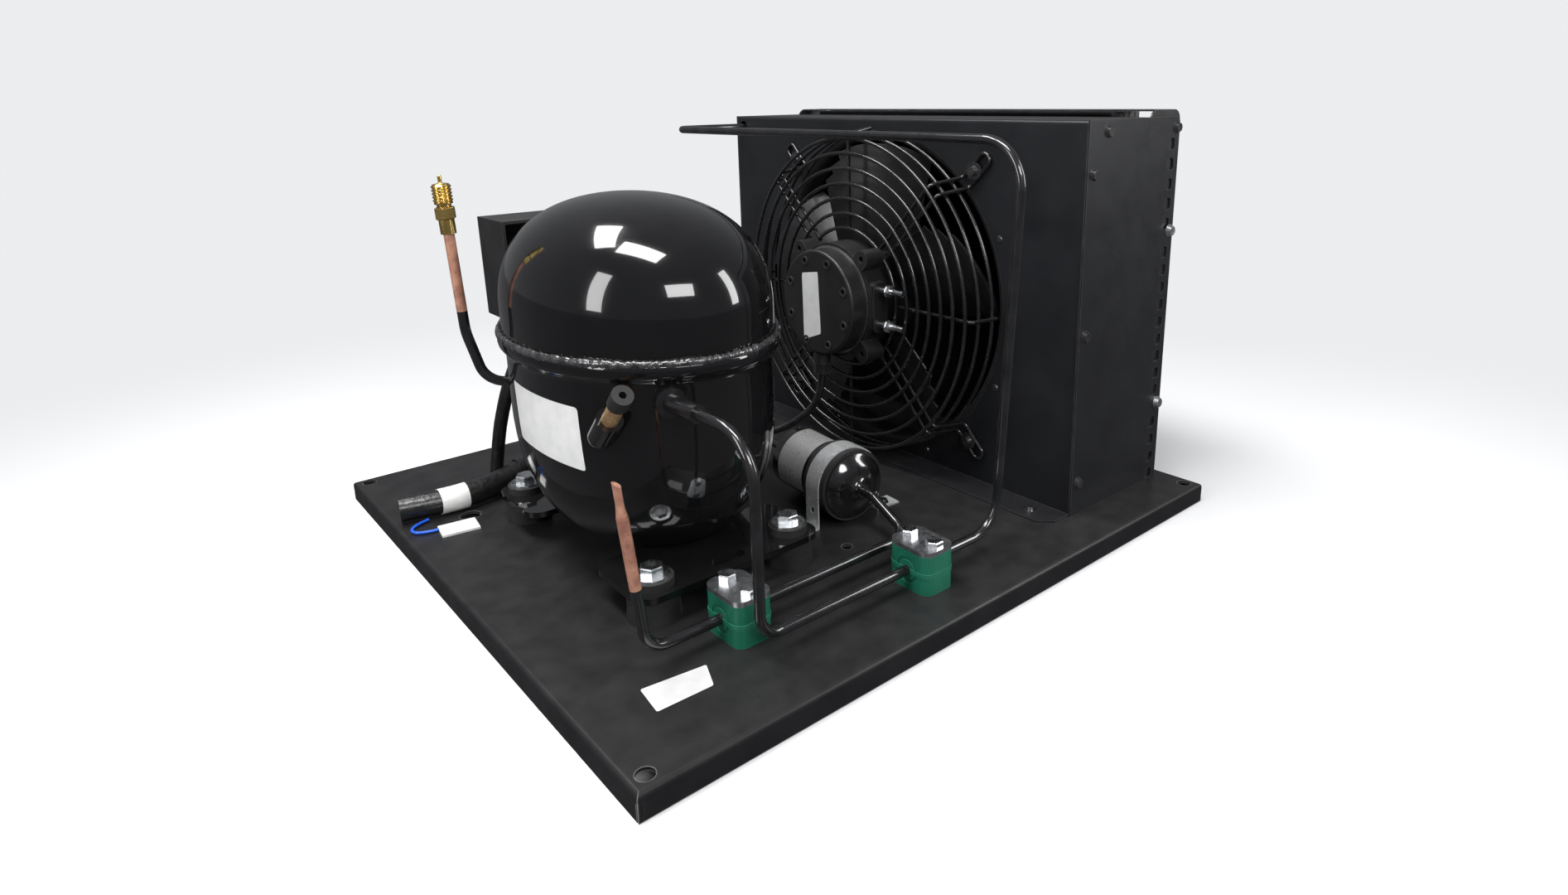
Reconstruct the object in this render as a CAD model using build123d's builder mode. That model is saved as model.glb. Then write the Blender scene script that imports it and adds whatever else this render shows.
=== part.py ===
"""Refrigeration condensing unit: hermetic compressor, fan-cooled condenser and
pipework on one folded steel tray.  Millimetres, +Z up.  The origin is the middle
of the tray's footprint, on the surface the tray stands on.  +X runs from the
compressor to the condenser, +Y runs away from the pipe clamps.
"""

import math
import os

from build123d import *

os.makedirs("parts", exist_ok=True)

# --------------------------------------------------------------------------
# Driving dimensions
# --------------------------------------------------------------------------

# base tray
tray_length = 500
tray_width = 470
tray_height = 15
tray_sheet = 2
tray_bend = 3
corner_hole_radius = 5
corner_hole_inset = 10
drain_hole_radius = 7.5
drain_hole_x = -201
drain_hole_y = 106
spare_hole_radius = 4

# compressor housing: an oval bowl and an oval dome, welded at the seam
comp_x = -117
comp_y = -17
shell_half_width = 80.5
shell_oval = 1.306
shell_wall = 3
lip_half_width = 85
seam_height = 169
lip_height = 7
crown_half_width = 82
crown_spring = 188
crown_top = 258
crown_fullness = 0.62
bowl_bottom = 24
bowl_spring = 122
bowl_fullness = 0.68
bead_radius = 2.6

# compressor feet
foot_spacing_x = 102
foot_spacing_y = 184
foot_plate_thickness = 4
foot_plate_reach = 17
grommet_base_radius = 16.5
grommet_base_height = 17
grommet_neck_radius = 9
grommet_ring_radius = 13
grommet_ring_height = 5
sleeve_radius = 6
sleeve_bore_radius = 4.3
foot_washer_radius = 11
foot_washer_thickness = 1.6
foot_bolt_radius = 4
foot_bolt_head_flats = 13
foot_bolt_head_height = 5.5
foot_nut_height = 6.5
fit_gap = 0.2

# pipes
pipe_radius = 3.25
suction_radius = 5
suction_wall = 1
service_radius = 3.25

# pipe clamps
clamp_length = 26
clamp_width = 35
clamp_half_height = 13
clamp_corner = 7
clamp_plate_thickness = 3
clamp_bolt_radius = 3
clamp_bolt_spacing = 22
clamp_bolt_flats = 10
clamp_bolt_head = 4
clamp_collar_radius = 9
liquid_clamp_x = -140
hot_clamp_x = -22
liquid_run_y = -158
hot_run_y = -190

# filter drier
drier_radius = 24
drier_body_length = 72
drier_dome = 11
drier_height = 44
drier_yaw = 5
drier_x = 5
drier_y = -64
cushion_thickness = 2.5
cushion_width = 25
strap_thickness = 1
strap_width = 15
strap_tab = 20
strap_setback = 22

# condenser housing
house_front = 124
house_depth = 114
house_width = 404
house_centre_y = 2
house_height = 283
house_sheet = 1.5
house_foot = 26
house_flange = 15
house_top_depth = 74
fan_height = 139.5
fan_opening_radius = 134
panel_screw_radius = 2
panel_screw_head = 4.4

# fan, guard and motor
guard_standoff = 36.5
guard_wire = 1.5
guard_first_ring = 57
guard_ring_pitch = 12
guard_front_rings = 7
guard_arm_gap = 10
guard_foot_radius = 150
guard_foot_tip = 166
motor_radius = 43
motor_front_gap = 32
motor_depth = 43
motor_lobe_circle = 54
motor_lobe_radius = 7
shaft_radius = 4
blade_count = 5
blade_tip_radius = 124
hub_radius = 38
hub_depth = 30

# condenser coil
coil_depth = 40
coil_rise = 5
coil_plate = 1.2
coil_corner = 8
coil_end_gap = 24
coil_tube_radius = 3.5
coil_rows = 8
fin_count = 36
fin_thickness = 0.8
fin_low = 21
fin_top_gap = 8

# terminal box on the far side of the compressor
box_width = 80
box_low = 158
box_high = 232
box_rim_y = 95.5
box_low_y = 148
box_high_y = 150
box_wall = 2
box_corner = 8
box_x = comp_x - 1

# cables
terminal_sleeve_radius = 5.3
motor_cable_radius = 3.2
bundle_radius = 9.3
tape_thickness = 0.5
tie_thickness = 1.2
label_wire_radius = 1.1

# derived planes
tray_top = tray_height
house_top = tray_top + house_height
house_right = house_centre_y - house_width / 2
house_left = house_centre_y + house_width / 2
house_rear = house_front + house_depth
fan_z = tray_top + fan_height
guard_x = house_front - guard_standoff
motor_front = guard_x - guard_wire - motor_front_gap
coil_rear = house_rear + 2
coil_front = coil_rear - coil_depth
coil_top = house_top + coil_rise
coil_tube_x = (coil_front + coil_rear) / 2
coil_row_pitch = (coil_top - fin_top_gap - fin_low) / coil_rows
coil_row_heights = [
    coil_top - fin_top_gap - coil_row_pitch * (i + 0.5) for i in range(coil_rows)
]
coil_outlet_z = coil_row_heights[-1]

# drier and strap directions, and where the strap is screwed down
drier_axis = Vector(math.sin(math.radians(drier_yaw)), math.cos(math.radians(drier_yaw)), 0)
drier_centre = Vector(drier_x, drier_y, drier_height)
strap_plane = Plane(
    drier_centre - drier_axis * strap_setback,
    x_dir=drier_axis.cross(Vector(0, 0, 1)),
    z_dir=-drier_axis,
)
cushion_radius = drier_radius + cushion_thickness
strap_radius = cushion_radius + strap_thickness
strap_hole_reach = strap_radius + strap_tab / 2
strap_holes = [strap_plane.origin + strap_plane.x_dir * side * strap_hole_reach for side in (-1, 1)]
strap_hole_points = [(hole.X, hole.Y) for hole in strap_holes]


def save(solid, name):
    """Label a finished piece and write it to its own file."""
    solid.label = name
    export_step(solid, f"parts/{name}.step")


# --------------------------------------------------------------------------
# Base tray: one steel sheet with its four edges folded down
# --------------------------------------------------------------------------

foot_points = [
    (comp_x + sx * foot_spacing_x / 2, comp_y + sy * foot_spacing_y / 2)
    for sx in (-1, 1)
    for sy in (-1, 1)
]
liquid_clamp_bolts = [
    (liquid_clamp_x, liquid_run_y - clamp_bolt_spacing / 2),
    (liquid_clamp_x, liquid_run_y + clamp_bolt_spacing / 2),
]
hot_clamp_bolts = [
    (hot_clamp_x, hot_run_y - clamp_bolt_spacing / 2),
    (hot_clamp_x, hot_run_y + clamp_bolt_spacing / 2),
]
clamp_bolt_points = liquid_clamp_bolts + hot_clamp_bolts
house_foot_points = [
    (house_front - house_foot / 2, house_right + house_foot),
    (house_front - house_foot / 2, house_left - house_foot),
]

with BuildPart() as tray:
    with BuildSketch():
        Rectangle(tray_length, tray_width)
    extrude(amount=tray_height)
    fillet(tray.edges().group_by(Axis.Z)[-1], radius=tray_bend)
    offset(amount=-tray_sheet, openings=tray.faces().sort_by(Axis.Z)[0])
    with Locations((0, 0, tray_top)):
        with GridLocations(
            tray_length - 2 * corner_hole_inset, tray_width - 2 * corner_hole_inset, 2, 2
        ):
            Hole(corner_hole_radius, depth=tray_sheet)
    with Locations((drain_hole_x, drain_hole_y, tray_top)):
        Hole(drain_hole_radius, depth=tray_sheet)
    with Locations(
        (comp_x - 18, comp_y - 65, tray_top),
        (house_front - 150, comp_y - 106, tray_top),
    ):
        Hole(spare_hole_radius, depth=tray_sheet)
    with Locations(*[(x, y, tray_top) for x, y in foot_points]):
        Hole(foot_bolt_radius + fit_gap, depth=tray_sheet)
    with Locations(*[(x, y, tray_top) for x, y in clamp_bolt_points]):
        Hole(clamp_bolt_radius + fit_gap, depth=tray_sheet)
    with Locations(*[(x, y, tray_top) for x, y in house_foot_points + strap_hole_points]):
        Hole(panel_screw_radius, depth=tray_sheet)
    # the folded edges meet at open corner seams
    with BuildSketch():
        with GridLocations(tray_length - tray_sheet, tray_width - tray_sheet, 2, 2):
            Rectangle(2 * tray_sheet, tray_sheet / 2)
    extrude(amount=tray_height - tray_bend - tray_sheet, mode=Mode.SUBTRACT)
save(tray.part, "base_tray")


# --------------------------------------------------------------------------
# Compressor housing
# --------------------------------------------------------------------------


def dome_outline(half_width, spring, tip, fullness):
    """Quarter outline of a pressed end, from its straight wall to the axis."""
    rise = tip - spring
    return Bezier(
        (half_width, spring),
        (half_width, spring + rise * fullness),
        (half_width * fullness, tip),
        (0, tip),
    )


def bowl_skin(inset):
    """Solid bowl of the lower housing, drawn in by a wall thickness."""
    width = shell_half_width - inset
    low = bowl_bottom + inset
    lip = lip_half_width - inset
    seam_low = seam_height - lip_height
    with BuildPart() as skin:
        with BuildSketch(Plane.XZ):
            with BuildLine():
                dome_outline(width, bowl_spring, low, bowl_fullness)
                Line((0, low), (0, seam_height))
                Line((0, seam_height), (lip, seam_height))
                Line((lip, seam_height), (lip, seam_low))
                Line((lip, seam_low), (width, seam_low - (lip - width)))
                Line((width, seam_low - (lip - width)), (width, bowl_spring))
            make_face()
        revolve(axis=Axis.Z)
        scale(by=(1, shell_oval, 1))
    return skin.part.moved(Location((comp_x, comp_y, 0)))


def crown_skin(inset):
    """Solid dome of the upper housing, drawn in by a wall thickness."""
    width = crown_half_width - inset
    with BuildPart() as skin:
        with BuildSketch(Plane.XZ):
            with BuildLine():
                Line((0, seam_height), (width, seam_height))
                Line((width, seam_height), (width, crown_spring))
                dome_outline(width, crown_spring, crown_top - inset, crown_fullness)
                Line((0, crown_top - inset), (0, seam_height))
            make_face()
        revolve(axis=Axis.Z)
        scale(by=(1, shell_oval, 1))
    return skin.part.moved(Location((comp_x, comp_y, 0)))


bowl_outer = bowl_skin(0)
with BuildPart() as lower_shell:
    add(bowl_outer)
    add(bowl_skin(shell_wall), mode=Mode.SUBTRACT)
save(lower_shell.part, "compressor_lower_shell")

with BuildPart() as weld_bead:
    with BuildSketch(Plane.XZ):
        with Locations((crown_half_width, seam_height)):
            Circle(bead_radius)
        with Locations((crown_half_width, seam_height - bead_radius)):
            Rectangle(4 * bead_radius, 2 * bead_radius, mode=Mode.SUBTRACT)
        with Locations((crown_half_width - bead_radius, seam_height)):
            Rectangle(2 * bead_radius, 4 * bead_radius, mode=Mode.SUBTRACT)
    revolve(axis=Axis.Z)
    scale(by=(1, shell_oval, 1))

with BuildPart() as upper_shell:
    add(crown_skin(0))
    add(weld_bead.part.moved(Location((comp_x, comp_y, 0))))
    # locating knob beside the service tube
    with Locations((comp_x - 76, comp_y + 46, seam_height + 5.6)):
        Sphere(4)
    add(crown_skin(shell_wall), mode=Mode.SUBTRACT)
save(upper_shell.part, "compressor_upper_shell")


# --------------------------------------------------------------------------
# Compressor feet: two plates under the bowl, rubber grommets and their bolts
# --------------------------------------------------------------------------

foot_plate_z = tray_top + grommet_base_height
foot_plate_top = foot_plate_z + foot_plate_thickness
foot_plate_inner = 46


def foot_plate(side):
    """Foot plate on one side of the bowl, trimmed to the bowl's curve."""
    outer = comp_y + side * (foot_spacing_y / 2 + foot_plate_reach)
    inner = comp_y + side * foot_plate_inner
    with BuildPart() as plate:
        with BuildSketch(Plane.XY.offset(foot_plate_z)):
            with Locations((comp_x, (outer + inner) / 2)):
                RectangleRounded(
                    foot_spacing_x + 2 * foot_plate_reach, abs(outer - inner), foot_plate_reach - 4
                )
            for sx in (-1, 1):
                with Locations((comp_x + sx * foot_spacing_x / 2, comp_y + side * foot_spacing_y / 2)):
                    Circle(grommet_neck_radius + fit_gap, mode=Mode.SUBTRACT)
            with Locations((comp_x, comp_y + side * (foot_spacing_y / 2 + 4))):
                SlotOverall(24, 9, mode=Mode.SUBTRACT)
        extrude(amount=foot_plate_thickness)
        add(bowl_outer, mode=Mode.SUBTRACT)
    return plate.part


with BuildPart() as foot_plates:
    add(foot_plate(-1))
    add(foot_plate(1))
save(foot_plates.part, "foot_plates")

with BuildPart() as grommets:
    for x, y in foot_points:
        with BuildSketch(Plane.XZ.offset(-y)):
            with BuildLine():
                Polyline(
                    (x + sleeve_radius + fit_gap, tray_top),
                    (x + grommet_base_radius, tray_top),
                    (x + grommet_base_radius - 0.8, foot_plate_z),
                    (x + grommet_neck_radius, foot_plate_z),
                    (x + grommet_neck_radius, foot_plate_top),
                    (x + grommet_ring_radius, foot_plate_top),
                    (x + grommet_ring_radius, foot_plate_top + grommet_ring_height),
                    (x + sleeve_radius + fit_gap, foot_plate_top + grommet_ring_height),
                    close=True,
                )
            make_face()
        revolve(axis=Axis((x, y, 0), (0, 0, 1)))
save(grommets.part, "rubber_grommets")

grommet_top = foot_plate_top + grommet_ring_height
with BuildPart() as sleeves:
    with BuildSketch(Plane.XY.offset(tray_top)):
        with Locations(*foot_points):
            Circle(sleeve_radius)
            Circle(sleeve_bore_radius, mode=Mode.SUBTRACT)
    extrude(amount=grommet_top - tray_top)
save(sleeves.part, "grommet_sleeves")

with BuildPart() as foot_washers:
    with BuildSketch(Plane.XY.offset(grommet_top)):
        with Locations(*foot_points):
            Circle(foot_washer_radius)
            Circle(sleeve_bore_radius, mode=Mode.SUBTRACT)
    extrude(amount=foot_washer_thickness)
save(foot_washers.part, "foot_washers")


def hex_bolts(points, head_z, head_height, flats, shank_radius, tip_z):
    """Hexagon-headed bolts standing upright at the given points."""
    with BuildPart() as bolts:
        with BuildSketch(Plane.XY.offset(head_z)):
            with Locations(*points):
                RegularPolygon(flats / 2, 6, major_radius=False)
        extrude(amount=head_height)
        chamfer(bolts.faces().group_by(Axis.Z)[-1].edges(), length=0.6)
        with BuildSketch(Plane.XY.offset(tip_z)):
            with Locations(*points):
                Circle(shank_radius)
        extrude(amount=head_z - tip_z)
    return bolts.part


under_tray = tray_top - tray_sheet
foot_head_z = grommet_top + foot_washer_thickness
foot_tip_z = under_tray - foot_nut_height
save(
    hex_bolts(
        foot_points, foot_head_z, foot_bolt_head_height, foot_bolt_head_flats, foot_bolt_radius, foot_tip_z
    ),
    "foot_bolts",
)

with BuildPart() as foot_nuts:
    with BuildSketch(Plane.XY.offset(foot_tip_z)):
        with Locations(*foot_points):
            RegularPolygon(foot_bolt_head_flats / 2, 6, major_radius=False)
            Circle(foot_bolt_radius, mode=Mode.SUBTRACT)
    extrude(amount=foot_nut_height)
save(foot_nuts.part, "foot_nuts")


# --------------------------------------------------------------------------
# Pipe clamps: two polypropylene halves under a zinc plate, two bolts each
# --------------------------------------------------------------------------

clamp_centres = [(liquid_clamp_x, liquid_run_y), (hot_clamp_x, hot_run_y)]
pipe_z = tray_top + clamp_half_height
clamp_top = pipe_z + clamp_half_height


def clamp_halves(bottom_z, mode_name):
    """The lower or the upper half of both clamps."""
    with BuildPart() as halves:
        with BuildSketch(Plane.XY.offset(bottom_z)):
            with Locations(*clamp_centres):
                RectangleRounded(clamp_length, clamp_width, clamp_corner)
        extrude(amount=clamp_half_height)
        with BuildSketch(Plane.XY.offset(pipe_z - 1.5 if mode_name == "lower" else pipe_z)):
            with Locations(*clamp_centres):
                RectangleRounded(clamp_length + 0.8, clamp_width + 0.8, clamp_corner + 0.4)
        extrude(amount=1.5)
        with BuildSketch(Plane.XY.offset(bottom_z)):
            with Locations(*clamp_bolt_points):
                Circle(clamp_bolt_radius + fit_gap)
        extrude(amount=clamp_half_height, mode=Mode.SUBTRACT)
        for x, y in clamp_centres:
            with BuildSketch(Plane.YZ.offset(x - clamp_length)):
                with Locations((y, pipe_z)):
                    Circle(pipe_radius)
            extrude(amount=2 * clamp_length, mode=Mode.SUBTRACT)
            for end in (-1, 1):
                with BuildSketch(Plane.YZ.offset(x + end * clamp_length / 2)):
                    with Locations((y, pipe_z)):
                        Circle(clamp_collar_radius)
                        Circle(clamp_collar_radius - 2.5, mode=Mode.SUBTRACT)
                extrude(amount=-end * 0.8, mode=Mode.SUBTRACT)
    return halves.part


save(clamp_halves(tray_top, "lower"), "clamp_lower_halves")
save(clamp_halves(pipe_z, "upper"), "clamp_upper_halves")

with BuildPart() as clamp_plates:
    with BuildSketch(Plane.XY.offset(clamp_top)):
        with Locations(*clamp_centres):
            RectangleRounded(clamp_length, clamp_width, clamp_corner)
        with Locations(*clamp_bolt_points):
            Circle(clamp_bolt_radius + fit_gap, mode=Mode.SUBTRACT)
    extrude(amount=clamp_plate_thickness)
save(clamp_plates.part, "clamp_plates")

clamp_head_z = clamp_top + clamp_plate_thickness
save(
    hex_bolts(
        clamp_bolt_points, clamp_head_z, clamp_bolt_head, clamp_bolt_flats, clamp_bolt_radius, under_tray - 5
    ),
    "clamp_bolts",
)

with BuildPart() as clamp_nuts:
    with BuildSketch(Plane.XY.offset(under_tray - 5)):
        with Locations(*clamp_bolt_points):
            RegularPolygon(clamp_bolt_flats / 2, 6, major_radius=False)
            Circle(clamp_bolt_radius, mode=Mode.SUBTRACT)
    extrude(amount=5)
save(clamp_nuts.part, "clamp_nuts")


# --------------------------------------------------------------------------
# Pipework
# --------------------------------------------------------------------------


def pipe(points, bends, radius, bore=0):
    """Round pipe along straight runs joined by bends of the given radii."""
    with BuildPart() as run:
        with BuildLine() as path:
            if bends:
                FilletPolyline(*points, radius=bends)
            else:
                Line(*points)
        with BuildSketch(Plane(path.line @ 0, z_dir=path.line % 0)):
            Circle(radius)
            if bore:
                Circle(bore, mode=Mode.SUBTRACT)
        sweep()
    return run.part


# Suction stub: a copper tube brazed into a boss on the bowl, angled upwards,
# stopped with a rubber plug for transport
suction_base = Vector(comp_x - 64, comp_y - 67.5, 126)
suction_axis = Vector(-0.05, -0.72, 0.69).normalized()
suction_cup_radius = 8
suction_cup_length = 20
suction_length = 38
plug_length = 11
plug_radius = 6.3
plug_bore_radius = 2.2
plug_stem_length = 10
suction_plane = Plane(suction_base, z_dir=suction_axis)

with BuildPart() as suction_cup:
    with BuildSketch(suction_plane):
        Circle(suction_cup_radius)
    extrude(amount=suction_cup_length)
    with Locations(suction_base):
        Sphere(suction_cup_radius)
    with BuildSketch(suction_plane):
        Circle(suction_radius)
    extrude(amount=suction_cup_length, mode=Mode.SUBTRACT)
    add(bowl_outer, mode=Mode.SUBTRACT)
save(suction_cup.part, "suction_socket")

with BuildPart() as suction_stub:
    with BuildSketch(suction_plane):
        Circle(suction_radius)
        Circle(suction_radius - suction_wall, mode=Mode.SUBTRACT)
    extrude(amount=suction_length)
    add(bowl_outer, mode=Mode.SUBTRACT)
save(suction_stub.part, "suction_stub")

with BuildPart() as suction_plug:
    with BuildSketch(suction_plane.offset(suction_length)):
        Circle(plug_radius)
    extrude(amount=plug_length)
    with BuildSketch(suction_plane.offset(suction_length)):
        Circle(suction_radius - suction_wall - fit_gap / 2)
    extrude(amount=-plug_stem_length)
    with BuildSketch(suction_plane.offset(suction_length + plug_length)):
        Circle(plug_bore_radius)
    extrude(amount=-plug_length, mode=Mode.SUBTRACT)
save(suction_plug.part, "suction_plug")

# Discharge: a socket on the bowl, then one steel pipe down to the tray, along
# to its clamp, up past the fan guard and across into the condenser
socket_radius = 5.6
socket_collar = 9
socket_reach = 27
socket_depth = 10
hot_x = comp_x - 31
socket_base = Vector(comp_x - 34.5, comp_y - 98, 147)
socket_corner = Vector(hot_x, hot_run_y, 145)
socket_axis = (socket_corner - socket_base).normalized()
socket_plane = Plane(socket_base, z_dir=socket_axis)
riser_x = 50
riser_top_y = house_right - 3
inlet_y = house_left - 11
inlet_z = 288

with BuildPart() as discharge_socket:
    with BuildSketch(socket_plane.offset(-14)):
        Circle(socket_radius)
    extrude(amount=14 + socket_reach)
    with BuildSketch(Plane(socket_base, z_dir=(-0.3, -0.95, 0)).offset(-12)):
        Circle(socket_collar)
    extrude(amount=14)
    with BuildSketch(socket_plane.offset(socket_reach)):
        Circle(pipe_radius)
    extrude(amount=-socket_depth, mode=Mode.SUBTRACT)
    add(bowl_outer, mode=Mode.SUBTRACT)
save(discharge_socket.part, "discharge_socket")

discharge_points = [
    socket_base + socket_axis * (socket_reach - socket_depth),
    socket_corner,
    (hot_x, hot_run_y, pipe_z),
    (riser_x, hot_run_y, pipe_z),
    (riser_x + 2, riser_top_y, inlet_z),
    (riser_x, inlet_y, inlet_z),
    (house_front + 22, inlet_y, inlet_z),
]
discharge_bends = [30, 14, 22, 30, 12]
discharge_line = pipe(discharge_points, discharge_bends, pipe_radius)
save(discharge_line, "discharge_line")

# Liquid line: from the drier, back through its clamp, and up to a copper stub
# whose end is pinched shut
drier_end = drier_body_length / 2 + drier_dome
drier_socket = 2
drier_outlet = drier_centre - drier_axis * (drier_end - drier_socket)
drier_inlet = drier_centre + drier_axis * (drier_end - drier_socket)
stub_x = -208
stub_low_z = 67

liquid_knee = drier_outlet - drier_axis * 12
liquid_points = [
    drier_outlet,
    liquid_knee,
    (liquid_knee.X - 2, liquid_run_y, pipe_z),
    (stub_x + 8, liquid_run_y, pipe_z),
    (stub_x + 4, liquid_run_y, stub_low_z),
]
liquid_line = pipe(liquid_points, [10, 14, 14], pipe_radius)
save(liquid_line, "liquid_line")

condenser_line_points = [
    drier_inlet,
    drier_inlet + drier_axis * 50,
    (22, 120, coil_outlet_z),
    (62, inlet_y, coil_outlet_z),
    (house_front + 22, inlet_y, coil_outlet_z),
]
save(pipe(condenser_line_points, [40, 40, 24], pipe_radius), "condenser_line")

stub_lean = Vector(-4, 0, stub_low_z - pipe_z).normalized()
stub_start = Vector(stub_x + 4, liquid_run_y, stub_low_z)
stub_plane = Plane(stub_start, x_dir=(0, 1, 0), z_dir=stub_lean)
stub_round = 42
stub_pinch = 12
with BuildPart() as liquid_stub:
    with BuildSketch(stub_plane):
        Circle(pipe_radius)
    extrude(amount=stub_round)
    with BuildSketch(stub_plane.offset(stub_round)):
        Circle(pipe_radius)
    with BuildSketch(stub_plane.offset(stub_round + stub_pinch * 0.6)):
        Ellipse(pipe_radius * 1.35, 1.5)
    loft()
    with BuildSketch(stub_plane.offset(stub_round + stub_pinch * 0.6)):
        Ellipse(pipe_radius * 1.35, 1.5)
    with BuildSketch(stub_plane.offset(stub_round + stub_pinch * 1.6)):
        Ellipse(pipe_radius * 1.45, 1.3)
    loft()
save(liquid_stub.part, "liquid_stub")

# Service tube out of the bowl's flank, with its access valve
service_start = Vector(comp_x - 67, comp_y + 46, 133.2)
service_knee = Vector(comp_x - 86, comp_y + 50.5, 138.5)
service_rise = Vector(comp_x - 94.6, comp_y + 52, 172)
service_axis = Vector(-3.4, 0, 71).normalized()
service_copper = service_rise + service_axis * 14
service_top = service_copper + service_axis * 57
service_tube = pipe(
    [service_start, service_knee, service_rise, service_copper],
    [18, 50],
    service_radius,
)
with BuildPart() as service_elbow:
    add(service_tube)
    add(bowl_outer, mode=Mode.SUBTRACT)
save(service_elbow.part, "service_elbow")
save(pipe([service_copper, service_top], [], service_radius), "service_tube")

valve_plane = Plane(service_top, z_dir=(service_top - service_copper).normalized())
valve_hex_flats = 11
valve_hex_height = 9.5
valve_neck_radius = 5.2
valve_neck_height = 14.5
valve_thread_radius = 4.8
valve_bore_radius = 3.2
valve_pin_radius = 0.9
valve_pin_travel = 1.5
valve_skirt_height = 7

with BuildPart() as valve_body:
    with BuildSketch(valve_plane.offset(-valve_skirt_height)):
        Circle(service_radius + 1.4)
        Circle(service_radius, mode=Mode.SUBTRACT)
    extrude(amount=valve_skirt_height)
    with BuildSketch(valve_plane):
        RegularPolygon(valve_hex_flats / 2, 6, major_radius=False)
    extrude(amount=valve_hex_height)
    with BuildSketch(valve_plane.offset(valve_hex_height)):
        Circle(valve_neck_radius)
    extrude(amount=valve_neck_height)
    with BuildSketch(valve_plane.offset(valve_hex_height + 1)):
        Circle(valve_neck_radius + 1)
        Circle(valve_thread_radius, mode=Mode.SUBTRACT)
    extrude(amount=1.4, mode=Mode.SUBTRACT)
    with BuildSketch(valve_plane.offset(valve_hex_height + valve_neck_height)):
        Circle(valve_bore_radius)
    extrude(amount=-valve_neck_height + 2, mode=Mode.SUBTRACT)
save(valve_body.part, "service_valve_body")

valve_floor = valve_hex_height + 2
with BuildPart() as valve_pin:
    with BuildSketch(valve_plane.offset(valve_floor + valve_pin_travel + 0.3)):
        Circle(valve_pin_radius)
    extrude(amount=valve_neck_height - 2 - valve_pin_travel - 1)
    with BuildSketch(valve_plane.offset(valve_floor + valve_pin_travel + 0.3)):
        Circle(valve_bore_radius - fit_gap)
    extrude(amount=3)
save(valve_pin.part, "service_valve_pin")


# --------------------------------------------------------------------------
# Filter drier in its cushioned strap
# --------------------------------------------------------------------------

drier_plane = Plane(drier_centre, x_dir=(0, 0, 1), z_dir=drier_axis)
half_body = drier_body_length / 2
drier_neck = pipe_radius + 1.5

with BuildPart() as drier:
    with BuildSketch(Plane(drier_centre, x_dir=drier_axis, z_dir=drier_axis.cross(Vector(0, 0, 1)))):
        with BuildLine():
            Line((-drier_end, 0), (drier_end, 0))
            Line((drier_end, 0), (drier_end, drier_neck))
            Spline(
                (drier_end, drier_neck),
                (half_body + 5, drier_radius * 0.66),
                (half_body, drier_radius),
                tangents=[(-1, 0.15), (-0.5, 1)],
            )
            Line((half_body, drier_radius), (-half_body, drier_radius))
            Spline(
                (-half_body, drier_radius),
                (-half_body - 5, drier_radius * 0.66),
                (-drier_end, drier_neck),
                tangents=[(-0.5, -1), (-1, -0.15)],
            )
            Line((-drier_end, drier_neck), (-drier_end, 0))
        make_face()
    revolve(axis=Axis(drier_centre, drier_axis))
    for end in (-1, 1):
        with BuildSketch(drier_plane.offset(end * drier_end)):
            Circle(pipe_radius)
        extrude(amount=-end * drier_socket, mode=Mode.SUBTRACT)
save(drier.part, "filter_drier")

drop = drier_height - tray_top

with BuildPart() as drier_cushion:
    with BuildSketch(strap_plane.offset(-cushion_width / 2)):
        Circle(cushion_radius)
        Circle(drier_radius, mode=Mode.SUBTRACT)
    extrude(amount=cushion_width)
save(drier_cushion.part, "drier_cushion")

strap_side = strap_plane.y_dir.Z
with BuildPart() as drier_strap:
    with BuildSketch(strap_plane.offset(-strap_width / 2)):
        Circle(strap_radius)
        with Locations((0, -strap_side * strap_radius)):
            Rectangle(2 * strap_radius, 2 * strap_radius, mode=Mode.SUBTRACT)
        for side in (-1, 1):
            with Locations((side * (strap_radius - strap_thickness / 2), -strap_side * drop / 2)):
                Rectangle(strap_thickness, drop)
            with Locations(
                (side * (strap_radius + strap_tab / 2), -strap_side * (drop - strap_thickness / 2))
            ):
                Rectangle(strap_tab, strap_thickness)
        Circle(cushion_radius, mode=Mode.SUBTRACT)
    extrude(amount=strap_width)
    with Locations(*[(x, y, tray_top + strap_thickness) for x, y in strap_hole_points]):
        Hole(panel_screw_radius + fit_gap, depth=strap_thickness)
    with BuildSketch(Plane(strap_plane.origin - Vector(0, 0, drop * 0.55), z_dir=strap_plane.x_dir)):
        Circle(2.2)
    extrude(amount=2 * strap_radius, both=True, mode=Mode.SUBTRACT)
save(drier_strap.part, "drier_strap")


def pan_screws(points, axis, head_radius, head_height, shank_radius, shank_length):
    """Pan-headed screws with their heads' undersides at the given points."""
    with BuildPart() as screws:
        for point in points:
            seat = Plane(point, z_dir=axis)
            with BuildSketch(seat):
                Circle(head_radius)
            with BuildSketch(seat.offset(head_height)):
                Circle(head_radius * 0.7)
            loft()
            with BuildSketch(seat):
                Circle(shank_radius)
            extrude(amount=-shank_length)
    return screws.part



# --------------------------------------------------------------------------
# Condenser housing: folded front and top, and two screwed side panels
# --------------------------------------------------------------------------

fan_centre = (house_centre_y, fan_z)
guard_screw_offset = guard_foot_radius * math.sqrt(0.5)
guard_screw_points = [
    (house_centre_y + sy * guard_screw_offset, fan_z + sz * guard_screw_offset)
    for sy in (-1, 1)
    for sz in (-1, 1)
]
inner_right = house_right + house_sheet
inner_left = house_left - house_sheet
screw_column = [tray_top + 25, tray_top + 135, tray_top + 247]
screw_row = [house_front + 22, house_front + 110]
top_rear = house_front + house_top_depth

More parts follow.
